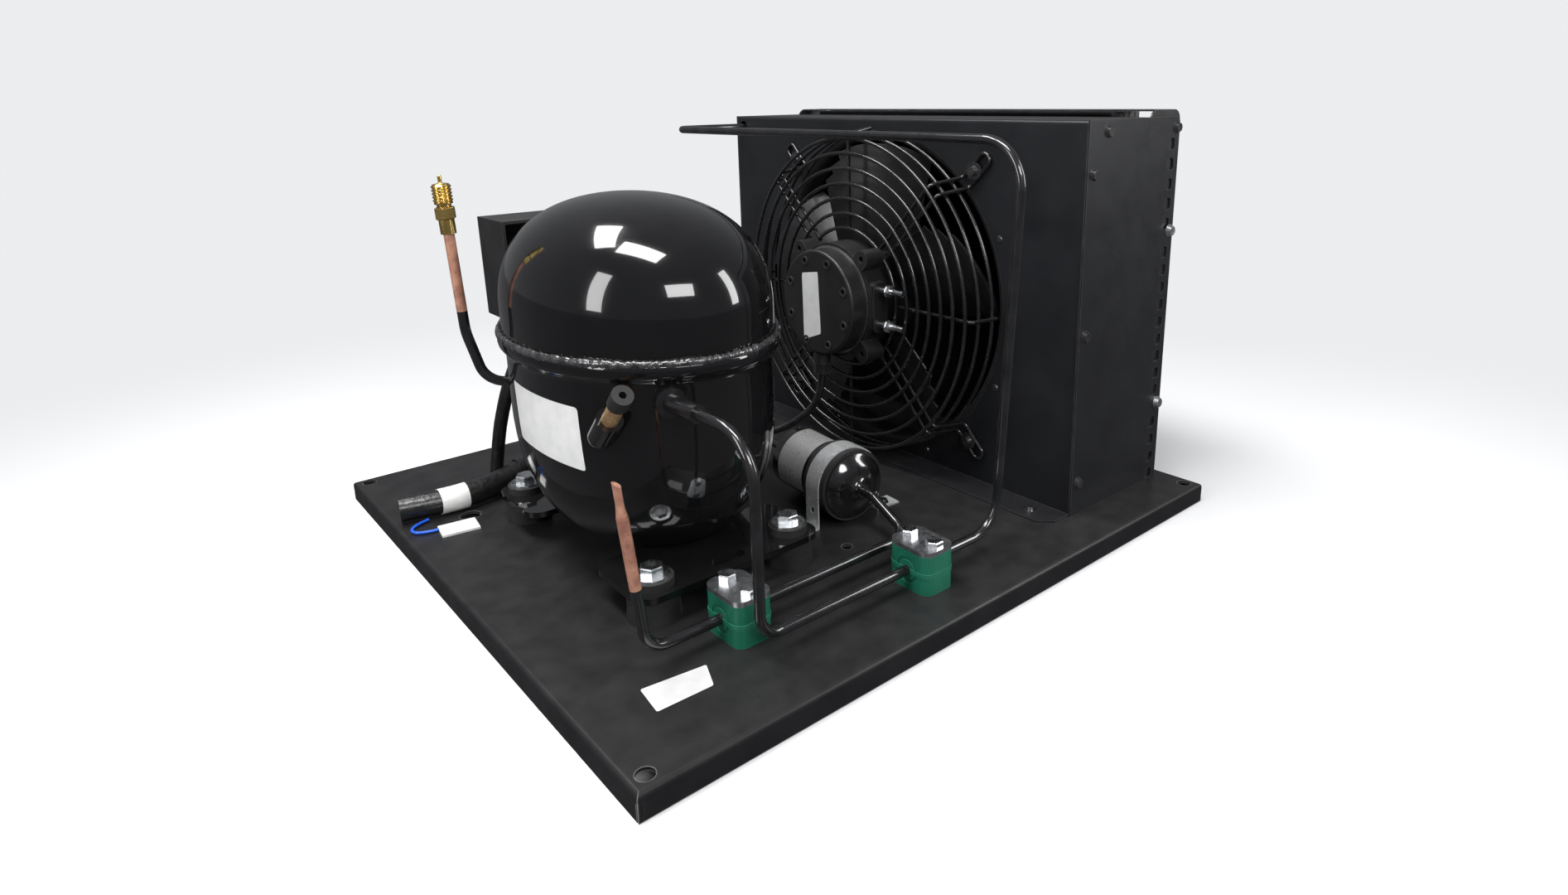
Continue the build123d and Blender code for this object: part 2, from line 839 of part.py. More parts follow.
with BuildPart() as house_panel:
    # front sheet
    with BuildSketch(Plane.YZ.offset(house_front)):
        with Locations((house_centre_y, tray_top + house_height / 2)):
            Rectangle(house_width - 2 * house_sheet, house_height)
    extrude(amount=house_sheet)
    # top sheet
    with BuildSketch(Plane.XY.offset(house_top)):
        with Locations(((house_front + top_rear) / 2, house_centre_y)):
            Rectangle(house_top_depth, house_width - 2 * house_sheet)
    extrude(amount=-house_sheet)
    # foot turned towards the compressor, its corners cut off
    with BuildSketch(Plane.XY.offset(tray_top)):
        with Locations((house_front - house_foot / 2 + house_sheet / 2, house_centre_y)):
            Rectangle(house_foot + house_sheet, house_width - 2 * house_sheet)
    extrude(amount=house_sheet)
    # side flanges that take the panel screws
    for y, inward in ((inner_right, 1), (inner_left, -1)):
        with BuildSketch(Plane.XZ.offset(-y)):
            with Locations((house_front + house_flange / 2, tray_top + house_height / 2)):
                Rectangle(house_flange, house_height)
            with Locations(((house_front + top_rear) / 2, house_top - house_flange / 2)):
                Rectangle(house_top_depth, house_flange)
        extrude(amount=-inward * house_sheet)
    # front bend
    fillet(
        house_panel.edges().filter_by(Axis.Y).group_by(Axis.Z)[-1].sort_by(Axis.X)[0],
        radius=2 * house_sheet - 0.2,
    )
    # round fan opening, pipe inlet and screw holes
    with BuildSketch(Plane.YZ.offset(house_front)):
        with Locations(fan_centre):
            Circle(fan_opening_radius)
        with Locations((inlet_y, inlet_z), (inlet_y, coil_outlet_z)):
            Circle(6)
    extrude(amount=house_sheet, mode=Mode.SUBTRACT)
    with BuildSketch(Plane.YZ.offset(house_front)):
        with Locations(*guard_screw_points):
            Circle(panel_screw_radius + fit_gap)
    extrude(amount=house_sheet, mode=Mode.SUBTRACT)
    with Locations(*[(x, y, tray_top + house_sheet) for x, y in house_foot_points]):
        Hole(panel_screw_radius + fit_gap, depth=house_sheet)
    with BuildSketch(Plane.XZ.offset(-house_right)):
        with Locations(*[(house_front + 7, z) for z in screw_column]):
            Circle(panel_screw_radius + fit_gap)
        with Locations((screw_row[0], house_top - 8)):
            Circle(panel_screw_radius + fit_gap)
    extrude(amount=-house_width, mode=Mode.SUBTRACT)
    # foot corners
    chamfer(
        house_panel.edges().filter_by(Axis.Z).group_by(Axis.X)[0],
        length=10,
    )
save(house_panel.part, "housing_front_and_top")

slot_column_x = house_front + 104
slot_size = 8.5
slot_pitch = 14.6
rear_screw_heights = [tray_top + 199, tray_top + 63]
slot_heights = (
    [house_top - 19.5 - slot_pitch * i for i in range(5)]
    + [tray_top + 183.5 - slot_pitch * i * 0.93 for i in range(9)]
    + [tray_top + 48 - slot_pitch * i for i in range(4)]
)


def side_panel(y, outward):
    """Flat side panel with its screw holes, its outer face at y."""
    with BuildPart() as panel:
        with BuildSketch(Plane.XZ.offset(-y)) as outline:
            with Locations((house_front + house_depth / 2, tray_top + house_height / 2)):
                Rectangle(house_depth, house_height)
            fillet(outline.vertices().group_by(Axis.X)[-1].sort_by(Axis.Y)[-1], radius=5)
            with Locations(*[(slot_column_x, z) for z in slot_heights]):
                RectangleRounded(slot_size, slot_size, 2.4, mode=Mode.SUBTRACT)
            with Locations(*[(house_front + 7, z) for z in screw_column]):
                Circle(panel_screw_radius + fit_gap, mode=Mode.SUBTRACT)
            with Locations(*[(x, house_top - 8) for x in screw_row]):
                Circle(panel_screw_radius + fit_gap, mode=Mode.SUBTRACT)
            with Locations(*[(house_rear - 4.5, z) for z in rear_screw_heights]):
                Circle(panel_screw_radius + fit_gap, mode=Mode.SUBTRACT)
        extrude(amount=outward * house_sheet)
    return panel.part


save(side_panel(house_right, -1), "side_panel_right")
save(side_panel(house_left, 1), "side_panel_left")

panel_spots = [(house_front + 7, z) for z in screw_column] + [(x, house_top - 8) for x in screw_row]
with BuildPart() as panel_screws:
    for side_y, outward in ((house_right, -1), (house_left, 1)):
        spots = [(x, side_y, z) for x, z in panel_spots]
        add(pan_screws(spots, (0, outward, 0), panel_screw_head, 2.6, panel_screw_radius, 6))
save(panel_screws.part, "panel_screws")

rear_spots = [(house_rear - 4.5, z) for z in rear_screw_heights]
with BuildPart() as coil_screws:
    for side_y, outward in ((house_right, -1), (house_left, 1)):
        spots = [(x, side_y, z) for x, z in rear_spots]
        add(pan_screws(spots, (0, outward, 0), 5, 3, panel_screw_radius, 6))
save(coil_screws.part, "coil_screws")

# the same screw holds the housing's foot and the drier's strap
tray_screw_points = [(x, y, tray_top + house_sheet) for x, y in house_foot_points]
tray_screw_points += [(x, y, tray_top + strap_thickness) for x, y in strap_hole_points]
save(
    pan_screws(tray_screw_points, (0, 0, 1), panel_screw_head, 2.6, panel_screw_radius, 8),
    "tray_screws",
)


# --------------------------------------------------------------------------
# Fan: riveted ring round the opening, moulded rotor, wire guard and motor
# --------------------------------------------------------------------------

ring_back = house_front + house_sheet
ring_throat = 127
ring_flange = 146
ring_sheet = 1.2
ring_reach = 18
rivet_circle = 141
rivet_spread = 24

with BuildPart() as fan_ring:
    with BuildSketch(Plane.XY.offset(fan_z)):
        with BuildLine():
            outline = FilletPolyline(
                (ring_back, house_centre_y + ring_flange),
                (ring_back, house_centre_y + ring_throat),
                (ring_back + ring_reach, house_centre_y + ring_throat),
                radius=[6],
            )
            offset(outline, amount=ring_sheet, side=Side.LEFT)
        make_face()
    revolve(axis=Axis((0, house_centre_y, fan_z), (1, 0, 0)))
    with BuildSketch(Plane.YZ.offset(ring_back)):
        with Locations((house_centre_y, tray_top + house_height / 2)):
            Rectangle(2 * ring_flange, house_height - 4 * house_sheet)
    extrude(amount=ring_reach + ring_sheet, mode=Mode.INTERSECT)
save(fan_ring.part, "fan_ring")

rivet_angles = [a + s for a in (0, 90, 180, 270) for s in (-rivet_spread, rivet_spread)]
with BuildPart() as ring_rivets:
    for angle in rivet_angles:
        y = house_centre_y + rivet_circle * math.cos(math.radians(angle))
        z = fan_z + rivet_circle * math.sin(math.radians(angle))
        if z > tray_top + 4:
            with BuildSketch(Plane((house_front, y, z), z_dir=(-1, 0, 0))):
                Circle(2.6)
            extrude(amount=1, taper=30)
save(ring_rivets.part, "ring_rivets")

# Guard: seven rings in one plane, two more stepped back to the housing,
# joined by single wires up, down and to the sides and by four double arms
arm_half_gap = guard_arm_gap / 2
arm_slope = 5
arm_bend_radius = 4
arm_inner = motor_lobe_circle + 2
arm_bend = guard_first_ring + guard_ring_pitch * (guard_front_rings - 1) + 3
run_end = arm_bend - 10
foot_start = arm_bend + arm_slope + 10
ring_arc_count = 12
guard_hub = Location((0, house_centre_y, fan_z))
rib_plane_x = guard_x + 2 * guard_wire
foot_wire_x = house_front - guard_wire - fit_gap
guard_skirt = Vector(foot_wire_x - rib_plane_x, arm_slope)
guard_step_rings = [guard_x + 13, guard_x + 26]


def skirt_radius(x):
    """Radius at which the bent-back wires stand at a place along the axis."""
    return arm_bend + arm_slope * (x - rib_plane_x) / guard_skirt.X


def ring_wires(x, radius):
    """One closed ring of guard wire, in equal arcs that meet end to end."""
    arc_angle = 360 / ring_arc_count
    with BuildPart() as arc:
        with BuildSketch(Plane.XZ):
            with Locations((x, radius)):
                Circle(guard_wire)
        revolve(axis=Axis.X, revolution_arc=arc_angle)
    turns = [Location((0, 0, 0), (1, 0, 0), arc_angle * i) for i in range(ring_arc_count)]
    return [arc.part.moved(guard_hub * turn) for turn in turns]


def double_arm():
    """One looped arm standing straight up: two runs, two skirts and a foot."""
    wires = []
    for side in (-arm_half_gap, arm_half_gap):
        wires.append(pipe([(rib_plane_x, side, arm_inner), (rib_plane_x, side, run_end)], [], guard_wire))
        skirt = [
            (rib_plane_x, side, run_end),
            (rib_plane_x, side, arm_bend),
            (foot_wire_x, side, arm_bend + arm_slope),
            (foot_wire_x, side, foot_start),
        ]
        wires.append(pipe(skirt, [arm_bend_radius, arm_bend_radius], guard_wire))
    foot = [
        (foot_wire_x, -arm_half_gap, foot_start),
        (foot_wire_x, -arm_half_gap, guard_foot_tip),
        (foot_wire_x, arm_half_gap, guard_foot_tip),
        (foot_wire_x, arm_half_gap, foot_start),
    ]
    tip_bend = arm_half_gap * 0.92
    wires.append(pipe(foot, [tip_bend, tip_bend], guard_wire))
    return wires


def single_rib():
    """One rib from the first ring out, and its length bent back to the last."""
    end_x = guard_step_rings[-1] + 1
    run = [(rib_plane_x, 0, guard_first_ring - 1), (rib_plane_x, 0, run_end)]
    skirt = [
        (rib_plane_x, 0, run_end),
        (rib_plane_x, 0, arm_bend),
        (end_x, 0, skirt_radius(end_x)),
    ]
    return [pipe(run, [], guard_wire), pipe(skirt, [arm_bend_radius], guard_wire)]


# the rings lie on the ribs and arms, touching where they are spot-welded
ring_seat = 2 * guard_wire * guard_skirt.length / guard_skirt.X
guard_wires = []
for i in range(guard_front_rings):
    guard_wires += ring_wires(guard_x, guard_first_ring + guard_ring_pitch * i)
for x in guard_step_rings:
    guard_wires += ring_wires(x, skirt_radius(x) - ring_seat)
arm = double_arm()
rib = single_rib()
for i in range(4):
    guard_wires += [wire.moved(guard_hub * Location((0, 0, 0), (1, 0, 0), 45 + 90 * i)) for wire in arm]
    guard_wires += [wire.moved(guard_hub * Location((0, 0, 0), (1, 0, 0), 90 * i)) for wire in rib]
save(Compound(children=guard_wires), "fan_guard")

guard_screw_seat = foot_wire_x - guard_wire
with BuildPart() as guard_screws:
    for y, z in guard_screw_points:
        seat = Plane((guard_screw_seat, y, z), z_dir=(-1, 0, 0))
        with BuildSketch(seat):
            Circle(6.5)
        extrude(amount=1.2)
        with BuildSketch(seat.offset(1.2)):
            Circle(4)
        with BuildSketch(seat.offset(3.8)):
            Circle(2.8)
        loft()
        with BuildSketch(seat):
            Circle(panel_screw_radius)
        extrude(amount=-10)
save(guard_screws.part, "guard_screws")

# Motor: a dished front cover, a cup behind it with four lobes on the guard
cover_depth = 16
motor_back = motor_front + motor_depth
motor_wall = 2.5
stator_depth = 16
motor_bearing_radius = 9
lobe_front = motor_front + 14
lobe_back = guard_x - guard_wire - 2 * fit_gap
lobe_web = 8
fan_axis = Axis((0, house_centre_y, fan_z), (1, 0, 0))


def cup(closed_x, open_x, radius, wall, bend):
    """Round cup about the fan axis, closed at one end."""
    inward = 1 if open_x > closed_x else -1
    section = [
        (closed_x, house_centre_y),
        (closed_x, house_centre_y + radius),
        (open_x, house_centre_y + radius),
        (open_x, house_centre_y + radius - wall),
        (closed_x + inward * wall, house_centre_y + radius - wall),
        (closed_x + inward * wall, house_centre_y),
    ]
    with BuildPart() as body:
        with BuildSketch(Plane.XY.offset(fan_z)) as profile:
            with BuildLine():
                Polyline(*section[::inward], close=True)
            make_face()
            rim_corner = (closed_x, house_centre_y + radius, fan_z)
            fillet(profile.vertices().sort_by_distance(rim_corner)[0], radius=bend)
        revolve(axis=fan_axis)
    return body.part


with BuildPart() as motor_cover:
    add(cup(motor_front, motor_front + cover_depth, motor_radius, motor_wall, 2.4))
    # screw sockets round the rim of the face
    with BuildSketch(Plane.YZ.offset(motor_front)):
        with Locations(Location((*fan_centre, 0))):
            with PolarLocations(motor_radius - 7.5, 8, start_angle=22.5):
                Circle(3.6)
                Circle(2.2, mode=Mode.SUBTRACT)
    extrude(amount=-0.8)
    with BuildSketch(Plane.YZ.offset(motor_front)):
        with Locations(Location((*fan_centre, 0))):
            with PolarLocations(motor_radius - 7.5, 8, start_angle=22.5):
                Circle(2.2)
    extrude(amount=1.6, mode=Mode.SUBTRACT)
save(motor_cover.part, "motor_cover")

# stud boss on the motor's flank
stud_spacing = 28
stud_length = 26
stud_x = guard_x - 8
stud_root = house_centre_y - motor_radius - 5
stud_points = [(stud_x, fan_z - stud_spacing / 2), (stud_x, fan_z + stud_spacing / 2)]

housing_rim = motor_front + cover_depth
housing_radius = motor_radius + 4
with BuildPart() as motor_housing:
    add(cup(motor_back, housing_rim, housing_radius, motor_wall, 4))
    # boss that carries the two studs
    with BuildSketch(Plane.XZ.offset(-stud_root)):
        with Locations((stud_x, fan_z)):
            RectangleRounded(14, stud_spacing + 12, 4)
    extrude(amount=-8)
    with BuildSketch(Plane.YZ.offset(housing_rim)):
        with Locations(fan_centre):
            Circle(housing_radius - motor_wall)
    extrude(amount=motor_back - motor_wall - housing_rim, mode=Mode.SUBTRACT)
    with BuildSketch(Plane.YZ.offset(lobe_front)):
        with Locations(Location((*fan_centre, 0))):
            with PolarLocations(motor_lobe_circle, 4, start_angle=45):
                Circle(motor_lobe_radius)
            with PolarLocations(motor_lobe_circle - lobe_web / 2, 4, start_angle=45):
                Rectangle(lobe_web, 2 * motor_lobe_radius)
    extrude(amount=lobe_back - lobe_front)
    with BuildSketch(Plane.YZ.offset(lobe_front)):
        with Locations(Location((*fan_centre, 0))):
            with PolarLocations(motor_lobe_circle, 4, start_angle=45):
                Circle(2.6)
    extrude(amount=6, mode=Mode.SUBTRACT)
    with BuildSketch(Plane.YZ.offset(motor_back)):
        with Locations(fan_centre):
            Circle(motor_bearing_radius)
    extrude(amount=-9)
    with BuildSketch(Plane.YZ.offset(motor_back)):
        with Locations(fan_centre):
            Circle(shaft_radius + 0.05)
    extrude(amount=-9, mode=Mode.SUBTRACT)
save(motor_housing.part, "motor_housing")

with BuildPart() as motor_screws:
    with BuildSketch(Plane.YZ.offset(lobe_front + 6)):
        with Locations(Location((*fan_centre, 0))):
            with PolarLocations(motor_lobe_circle, 4, start_angle=45):
                Circle(2.5)
    extrude(amount=-2.5)
save(motor_screws.part, "motor_screws")

# two zinc studs in the boss on the motor's flank
with BuildPart() as motor_studs:
    with BuildSketch(Plane.XZ.offset(-stud_root)):
        with Locations(*stud_points):
            Circle(2.5)
    extrude(amount=stud_length)
    with BuildSketch(Plane.XZ.offset(-stud_root + 8)):
        with Locations(*stud_points):
            Circle(4.8)
    extrude(amount=1.2)
    with BuildSketch(Plane.XZ.offset(-stud_root + 9.2)):
        with Locations(*stud_points):
            RegularPolygon(4, 6, major_radius=False)
    extrude(amount=4)
save(motor_studs.part, "motor_studs")

gland_x = motor_front + 7.5
gland_y = house_centre_y + 3
gland_z = fan_z - motor_radius
gland_collar = 9
gland_nut = 8
gland_foot_z = gland_z - gland_collar - gland_nut
gland_socket = 6
with BuildPart() as motor_gland:
    with BuildSketch(Plane.XY.offset(gland_z - gland_collar)):
        with Locations((gland_x, gland_y)):
            Circle(7)
    extrude(amount=gland_collar + 3)
    with BuildSketch(Plane.XY.offset(gland_foot_z)):
        with Locations((gland_x, gland_y)):
            RegularPolygon(7.6, 6)
    extrude(amount=gland_nut)
    # seated on the round flank of the motor
    with BuildSketch(Plane.YZ.offset(motor_front)):
        with Locations(fan_centre):
            Circle(motor_radius)
    extrude(amount=cover_depth, mode=Mode.SUBTRACT)
    with BuildSketch(Plane.XY.offset(gland_foot_z)):
        with Locations((gland_x, gland_y)):
            Circle(motor_cable_radius)
    extrude(amount=gland_socket, mode=Mode.SUBTRACT)
save(motor_gland.part, "motor_gland")

# Shaft and moulded rotor with swept, saw-edged blades
hub_front = motor_back + 3
hub_back = hub_front + hub_depth
shaft_front = motor_front + motor_wall + 8

with BuildPart() as motor_shaft:
    with BuildSketch(Plane.YZ.offset(shaft_front)):
        with Locations(fan_centre):
            Circle(shaft_radius)
    extrude(amount=hub_back - 4 - shaft_front)
    # magnet rotor inside the motor
    with BuildSketch(Plane.YZ.offset(motor_front + cover_depth)):
        with Locations(fan_centre):
            Circle(22)
    extrude(amount=stator_depth - 4)
save(motor_shaft.part, "motor_shaft")

with BuildPart() as motor_stator:
    with BuildSketch(Plane.YZ.offset(motor_front + cover_depth)):
        with Locations(fan_centre):
            Circle(motor_radius + 4 - motor_wall)
            Circle(22.6, mode=Mode.SUBTRACT)
    extrude(amount=stator_depth - 4)
save(motor_stator.part, "motor_stator")

blade_root_pitch = 38
blade_tip_pitch = 24
blade_root_chord = 62
blade_tip_chord = 104
blade_thickness = 2.4
blade_camber = 7
blade_mid_x = (hub_front + hub_back) / 2 + 6
saw_teeth = 7
saw_depth = 6


def blade_section(radius, chord, pitch):
    """Cambered plate section of a blade at one radius, as a placed face."""
    plane = Plane(origin=(blade_mid_x, 0, radius), x_dir=(0, 1, 0), z_dir=(0, 0, 1)).rotated((0, 0, pitch))
    half = chord / 2
    with BuildSketch(plane) as section:
        with BuildLine():
            ThreePointArc((-half, 0), (0, blade_camber), (half, 0))
            Line((half, 0), (half, blade_thickness * 0.5))
            ThreePointArc(
                (half, blade_thickness * 0.5),
                (0, blade_camber + blade_thickness),
                (-half, blade_thickness),
            )
            Line((-half, blade_thickness), (-half, 0))
        make_face()
    return section.sketch


def saw_outline():
    """Blade outline seen along the axis: a swept leading edge and a saw-toothed trailing edge."""
    steps = 2 * saw_teeth
    root = hub_radius - 3
    lead = [(-18, root), (-44, (root + blade_tip_radius) / 2), (-50, blade_tip_radius * 0.86)]
    points = []
    for i in range(steps + 1):
        r = root + (blade_tip_radius * 0.93 - root) * i / steps
        lean = 26 + 16 * math.sin(math.pi * i / steps)
        points.append((lean - (saw_depth if i % 2 else 0), r))
    return lead, points


def blade():
    """One blade standing up from the hub, trimmed to its outline."""
    lead, trail = saw_outline()
    with BuildPart() as body:
        add(blade_section(hub_radius - 6, blade_root_chord, blade_root_pitch))
        add(
            blade_section(
                (hub_radius + blade_tip_radius) / 2,
                (blade_root_chord + blade_tip_chord) / 2,
                (blade_root_pitch + blade_tip_pitch) / 2,
            )
        )
        add(blade_section(blade_tip_radius + 2, blade_tip_chord, blade_tip_pitch))
        loft()
        with BuildSketch(Plane.YZ.offset(hub_front - 30)):
            with BuildLine():
                Spline(*lead)
                ThreePointArc(
                    lead[-1],
                    (-10, math.sqrt(blade_tip_radius**2 - 100)),
                    trail[-1],
                )
                Polyline(*trail)
                Line(trail[0], lead[0])
            make_face()
        extrude(amount=hub_depth + 60, mode=Mode.INTERSECT)
    return body.part


with BuildPart() as fan_rotor:
    with BuildSketch(Plane.YZ.offset(hub_front)):
        Circle(hub_radius)
        Circle(hub_radius - 2.5, mode=Mode.SUBTRACT)
    extrude(amount=hub_depth)
    with BuildSketch(Plane.YZ.offset(hub_back - 3)):
        Circle(hub_radius)
    extrude(amount=3)
    with BuildSketch(Plane.YZ.offset(hub_front + 6)):
        Circle(shaft_radius + 5)
        Circle(shaft_radius, mode=Mode.SUBTRACT)
    extrude(amount=hub_depth - 6)
    with BuildSketch(Plane.YZ.offset(hub_back)):
        Circle(shaft_radius)
    extrude(amount=-4, mode=Mode.SUBTRACT)
    wing = blade()
    for i in range(blade_count):
        add(wing.moved(Location((0, 0, 0), (1, 0, 0), 360 / blade_count * i)))
    with BuildSketch(Plane.YZ.offset(hub_front)):
        Circle(hub_radius - 2.5)
        Circle(shaft_radius + 5, mode=Mode.SUBTRACT)
    extrude(amount=hub_depth - 3, mode=Mode.SUBTRACT)
save(fan_rotor.part.moved(Location((0, house_centre_y, fan_z))), "fan_rotor")


# --------------------------------------------------------------------------
# Condenser coil: finned block on tubes between two end plates
# --------------------------------------------------------------------------

coil_inner_right = inner_right + coil_end_gap
coil_inner_left = inner_left - coil_end_gap
coil_mid_z = (tray_top + coil_top) / 2
tube_fit = 0.1

with BuildPart() as coil_frame:
    for y, inward in ((inner_right, 1), (inner_left, -1)):
        # outer plate against the side panel, its top corners rounded
        with BuildSketch(Plane.XZ.offset(-y)) as plate:
            with Locations((coil_tube_x, coil_mid_z)):
                Rectangle(coil_depth, coil_top - tray_top)
            fillet(plate.vertices().group_by(Axis.Y)[-1], radius=coil_corner)
            with Locations(*[(house_rear - 4.5, z) for z in rear_screw_heights]):
                Circle(panel_screw_radius, mode=Mode.SUBTRACT)
            with Locations((screw_row[1], house_top - 8)):
                Circle(panel_screw_radius, mode=Mode.SUBTRACT)
        extrude(amount=-inward * coil_plate)
        # rear return
        with BuildSketch(Plane.XZ.offset(-y)):
            with Locations((coil_rear - coil_plate / 2, coil_mid_z)):
                Rectangle(coil_plate, coil_top - tray_top - 2 * coil_corner)
        extrude(amount=-inward * coil_end_gap)
        # tube plate that carries the fins' tubes
        with BuildSketch(Plane.XZ.offset(-(y + inward * coil_end_gap))):
            with Locations((coil_tube_x, coil_mid_z)):
                Rectangle(coil_depth, coil_top - tray_top - 2 * coil_corner)
            with Locations(*[(coil_tube_x, z) for z in coil_row_heights]):
                Circle(coil_tube_radius + tube_fit, mode=Mode.SUBTRACT)
        extrude(amount=inward * coil_plate)
    # top rail
    with BuildSketch(Plane.XY.offset(coil_top)):
        with Locations((coil_tube_x, house_centre_y)):
            Rectangle(coil_depth - 2 * coil_corner, inner_left - inner_right)
    extrude(amount=-coil_plate)
save(coil_frame.part, "coil_frame")

fin_top = coil_top - fin_top_gap
fin_pitch = (coil_inner_left - coil_inner_right) / (fin_count + 1)
with BuildPart() as fin:
    with BuildSketch(Plane.XZ):
        with Locations((coil_tube_x - coil_plate / 2, (fin_low + fin_top) / 2)):
            Rectangle(coil_depth - 2 * coil_plate, fin_top - fin_low)
        with Locations(*[(coil_tube_x, z) for z in coil_row_heights]):
            Rectangle(2 * coil_tube_radius + tube_fit, 2 * coil_tube_radius + tube_fit, mode=Mode.SUBTRACT)
    extrude(amount=fin_thickness / 2, both=True)
with BuildPart() as coil_fins:
    for i in range(fin_count):
        add(fin.part.moved(Location((0, coil_inner_right + fin_pitch * (i + 1), 0))))
save(coil_fins.part, "coil_fins")

# one tube winds down through the fins, in at the top and out at the bottom
turn_radius = coil_row_pitch / 2 * 0.98
turn_left = coil_inner_left + coil_row_pitch / 2 + 0.4
turn_right = coil_inner_right - coil_row_pitch / 2 - 0.4
coil_route = [
    (house_front + 22, inlet_y, inlet_z),
    (coil_front, inlet_y, inlet_z),
    (coil_tube_x, inlet_y, coil_row_heights[0]),
]
for i in range(coil_rows - 1):
    turn_y = turn_right if i % 2 == 0 else turn_left
    coil_route.append((coil_tube_x, turn_y, coil_row_heights[i]))
    coil_route.append((coil_tube_x, turn_y, coil_row_heights[i + 1]))
coil_route.append((coil_tube_x, inlet_y, coil_outlet_z))
coil_route.append((house_front + 22, inlet_y, coil_outlet_z))
coil_turns = [20, 10] + [turn_radius] * (2 * coil_rows - 2) + [10]
save(pipe(coil_route, coil_turns, coil_tube_radius), "coil_tube")


# --------------------------------------------------------------------------
# Terminal box: a cover, open towards the compressor, over the starter block
# --------------------------------------------------------------------------


def box_form(inset):
    """The cover's outer form, or the space inside its walls."""
    with BuildPart() as form:
        with BuildSketch(Plane.YZ.offset(box_x - box_width / 2 + inset)):
            Polygon(
                (box_rim_y, box_low + inset),
                (box_low_y - inset, box_low + inset),
                (box_high_y - inset, box_high - inset),
                (box_rim_y, box_high - inset),
                align=None,
            )
        extrude(amount=box_width - 2 * inset)
        fillet(form.faces().sort_by(Axis.Y)[-1].edges(), radius=box_corner - inset)
    return form.part


sleeve_entry_x = box_x - 28
sleeve_entry_y = 112
with BuildPart() as terminal_cover:
    add(box_form(0))
    add(box_form(box_wall), mode=Mode.SUBTRACT)
    # latch tab on the roof and the cable's hole in the floor
    with Locations((box_x, box_rim_y + 6, box_high + 1)):
        Box(16, 8, 2)
    with Locations((sleeve_entry_x, sleeve_entry_y, box_low + box_wall)):
        Hole(terminal_sleeve_radius + fit_gap, depth=box_wall)
save(terminal_cover.part, "terminal_cover")

with BuildPart() as terminal_block:
    # starter and overload body, plugged onto the pins in the housing
    with Locations((box_x, box_rim_y + 4, 195)):
        Box(48, 24, 38)
    fillet(terminal_block.edges().filter_by(Axis.Y), radius=3)
    # carrier strip between the cover's side walls
    with Locations((box_x, box_rim_y + 9, 195)):
        Box(box_width - 2 * box_wall, 2, 10)
    add(crown_skin(0), mode=Mode.SUBTRACT)
save(terminal_block.part, "terminal_block")


# --------------------------------------------------------------------------
# Cables
# --------------------------------------------------------------------------


def cord_bends(points):
    """Largest arc that each corner's two runs allow."""
    radii = []
    for start, corner, end in zip(points, points[1:], points[2:]):
        before = Vector(corner) - Vector(start)
        after = Vector(end) - Vector(corner)
        half_turn = math.radians(before.get_angle(after)) / 2
        radii.append(0.45 * min(before.length, after.length) / math.tan(half_turn))
    return radii


def cord(points, radius, name):
    """Flexible cable along a route of straight runs and tangent arcs."""
    bends = cord_bends(points)
    tube = pipe(points, bends, radius)
    length = sum((Vector(b) - Vector(a)).length for a, b in zip(points, points[1:]))
    for bend, start, corner, end in zip(bends, points, points[1:], points[2:]):
        before = Vector(corner) - Vector(start)
        turn = math.radians(before.get_angle(Vector(end) - Vector(corner)))
        length += bend * turn - 2 * bend * math.tan(turn / 2)
    ratio = tube.volume / (math.pi * radius**2 * length)
    print(name, "bend radii", [round(bend, 1) for bend in bends], "fill", round(ratio, 4))
    return tube


sleeve_route = [
    (sleeve_entry_x, sleeve_entry_y, box_low + box_wall),
    (sleeve_entry_x, sleeve_entry_y, 134),
    (-150, 133, 105),
    (-152, 148, 80),
    (-155, 160, 50),
    (-157.5, 166.5, 16.4),
]
save(cord(sleeve_route, terminal_sleeve_radius, "terminal_sleeve"), "terminal_sleeve")

bundle_route = [
    (-140, 141, 27),
    (-162, 130.5, 25.4),
    (-187, 122.5, 25),
    (-212, 121.5, 25),
    (-238, 128, 25),
]
bundle = cord(bundle_route, bundle_radius, "cable_bundle")
save(bundle, "cable_bundle")

bundle_mouth = Vector(*bundle_route[0])
bundle_back = (bundle_mouth - Vector(*bundle_route[1])).normalized()
motor_cable_route = [
    (gland_x, gland_y, gland_foot_z + gland_socket),
    (gland_x, gland_y, 74),
    (50, 24, 48),
    (30, 50, 34),
    (0, 85, 24),
    (-38, 118, 19.5),
    (-80, 143, 18.5),
    bundle_mouth + bundle_back * 28,
    bundle_mouth,
]
save(cord(motor_cable_route, motor_cable_radius, "motor_cable"), "motor_cable")


def bundle_band(thickness, low_x, high_x):
    """Band wrapped round the cable bundle between two places along X."""
    with BuildPart() as band:
        add(pipe(bundle_route, cord_bends(bundle_route), bundle_radius + thickness))
        add(bundle, mode=Mode.SUBTRACT)
        with Locations(((low_x + high_x) / 2, 128, 25)):
            Box(high_x - low_x, 60, 40, mode=Mode.INTERSECT)
    return band.part


save(bundle_band(tape_thickness, -217, -197), "tape_band")
save(bundle_band(tie_thickness, -152, -147.5), "cable_tie")

label_wire_route = [
    (-228, 115.2, 17),
    (-237, 113, 16.6),
    (-243, 107, 16.4),
    (-242, 99.5, 16.4),
    (-235, 95.5, 16.4),
    (-227.5, 94.5, 16.4),
]
save(cord(label_wire_route, label_wire_radius, "label_wire"), "label_wire")

with BuildPart() as flag_label:
    with BuildSketch(Plane((-227.5, 94.5, tray_top + 0.2), x_dir=(7.5, -1, 0))):
        with Locations((13, -4)):
            Rectangle(26, 19)
    extrude(amount=1.6)
save(flag_label.part, "flag_label")
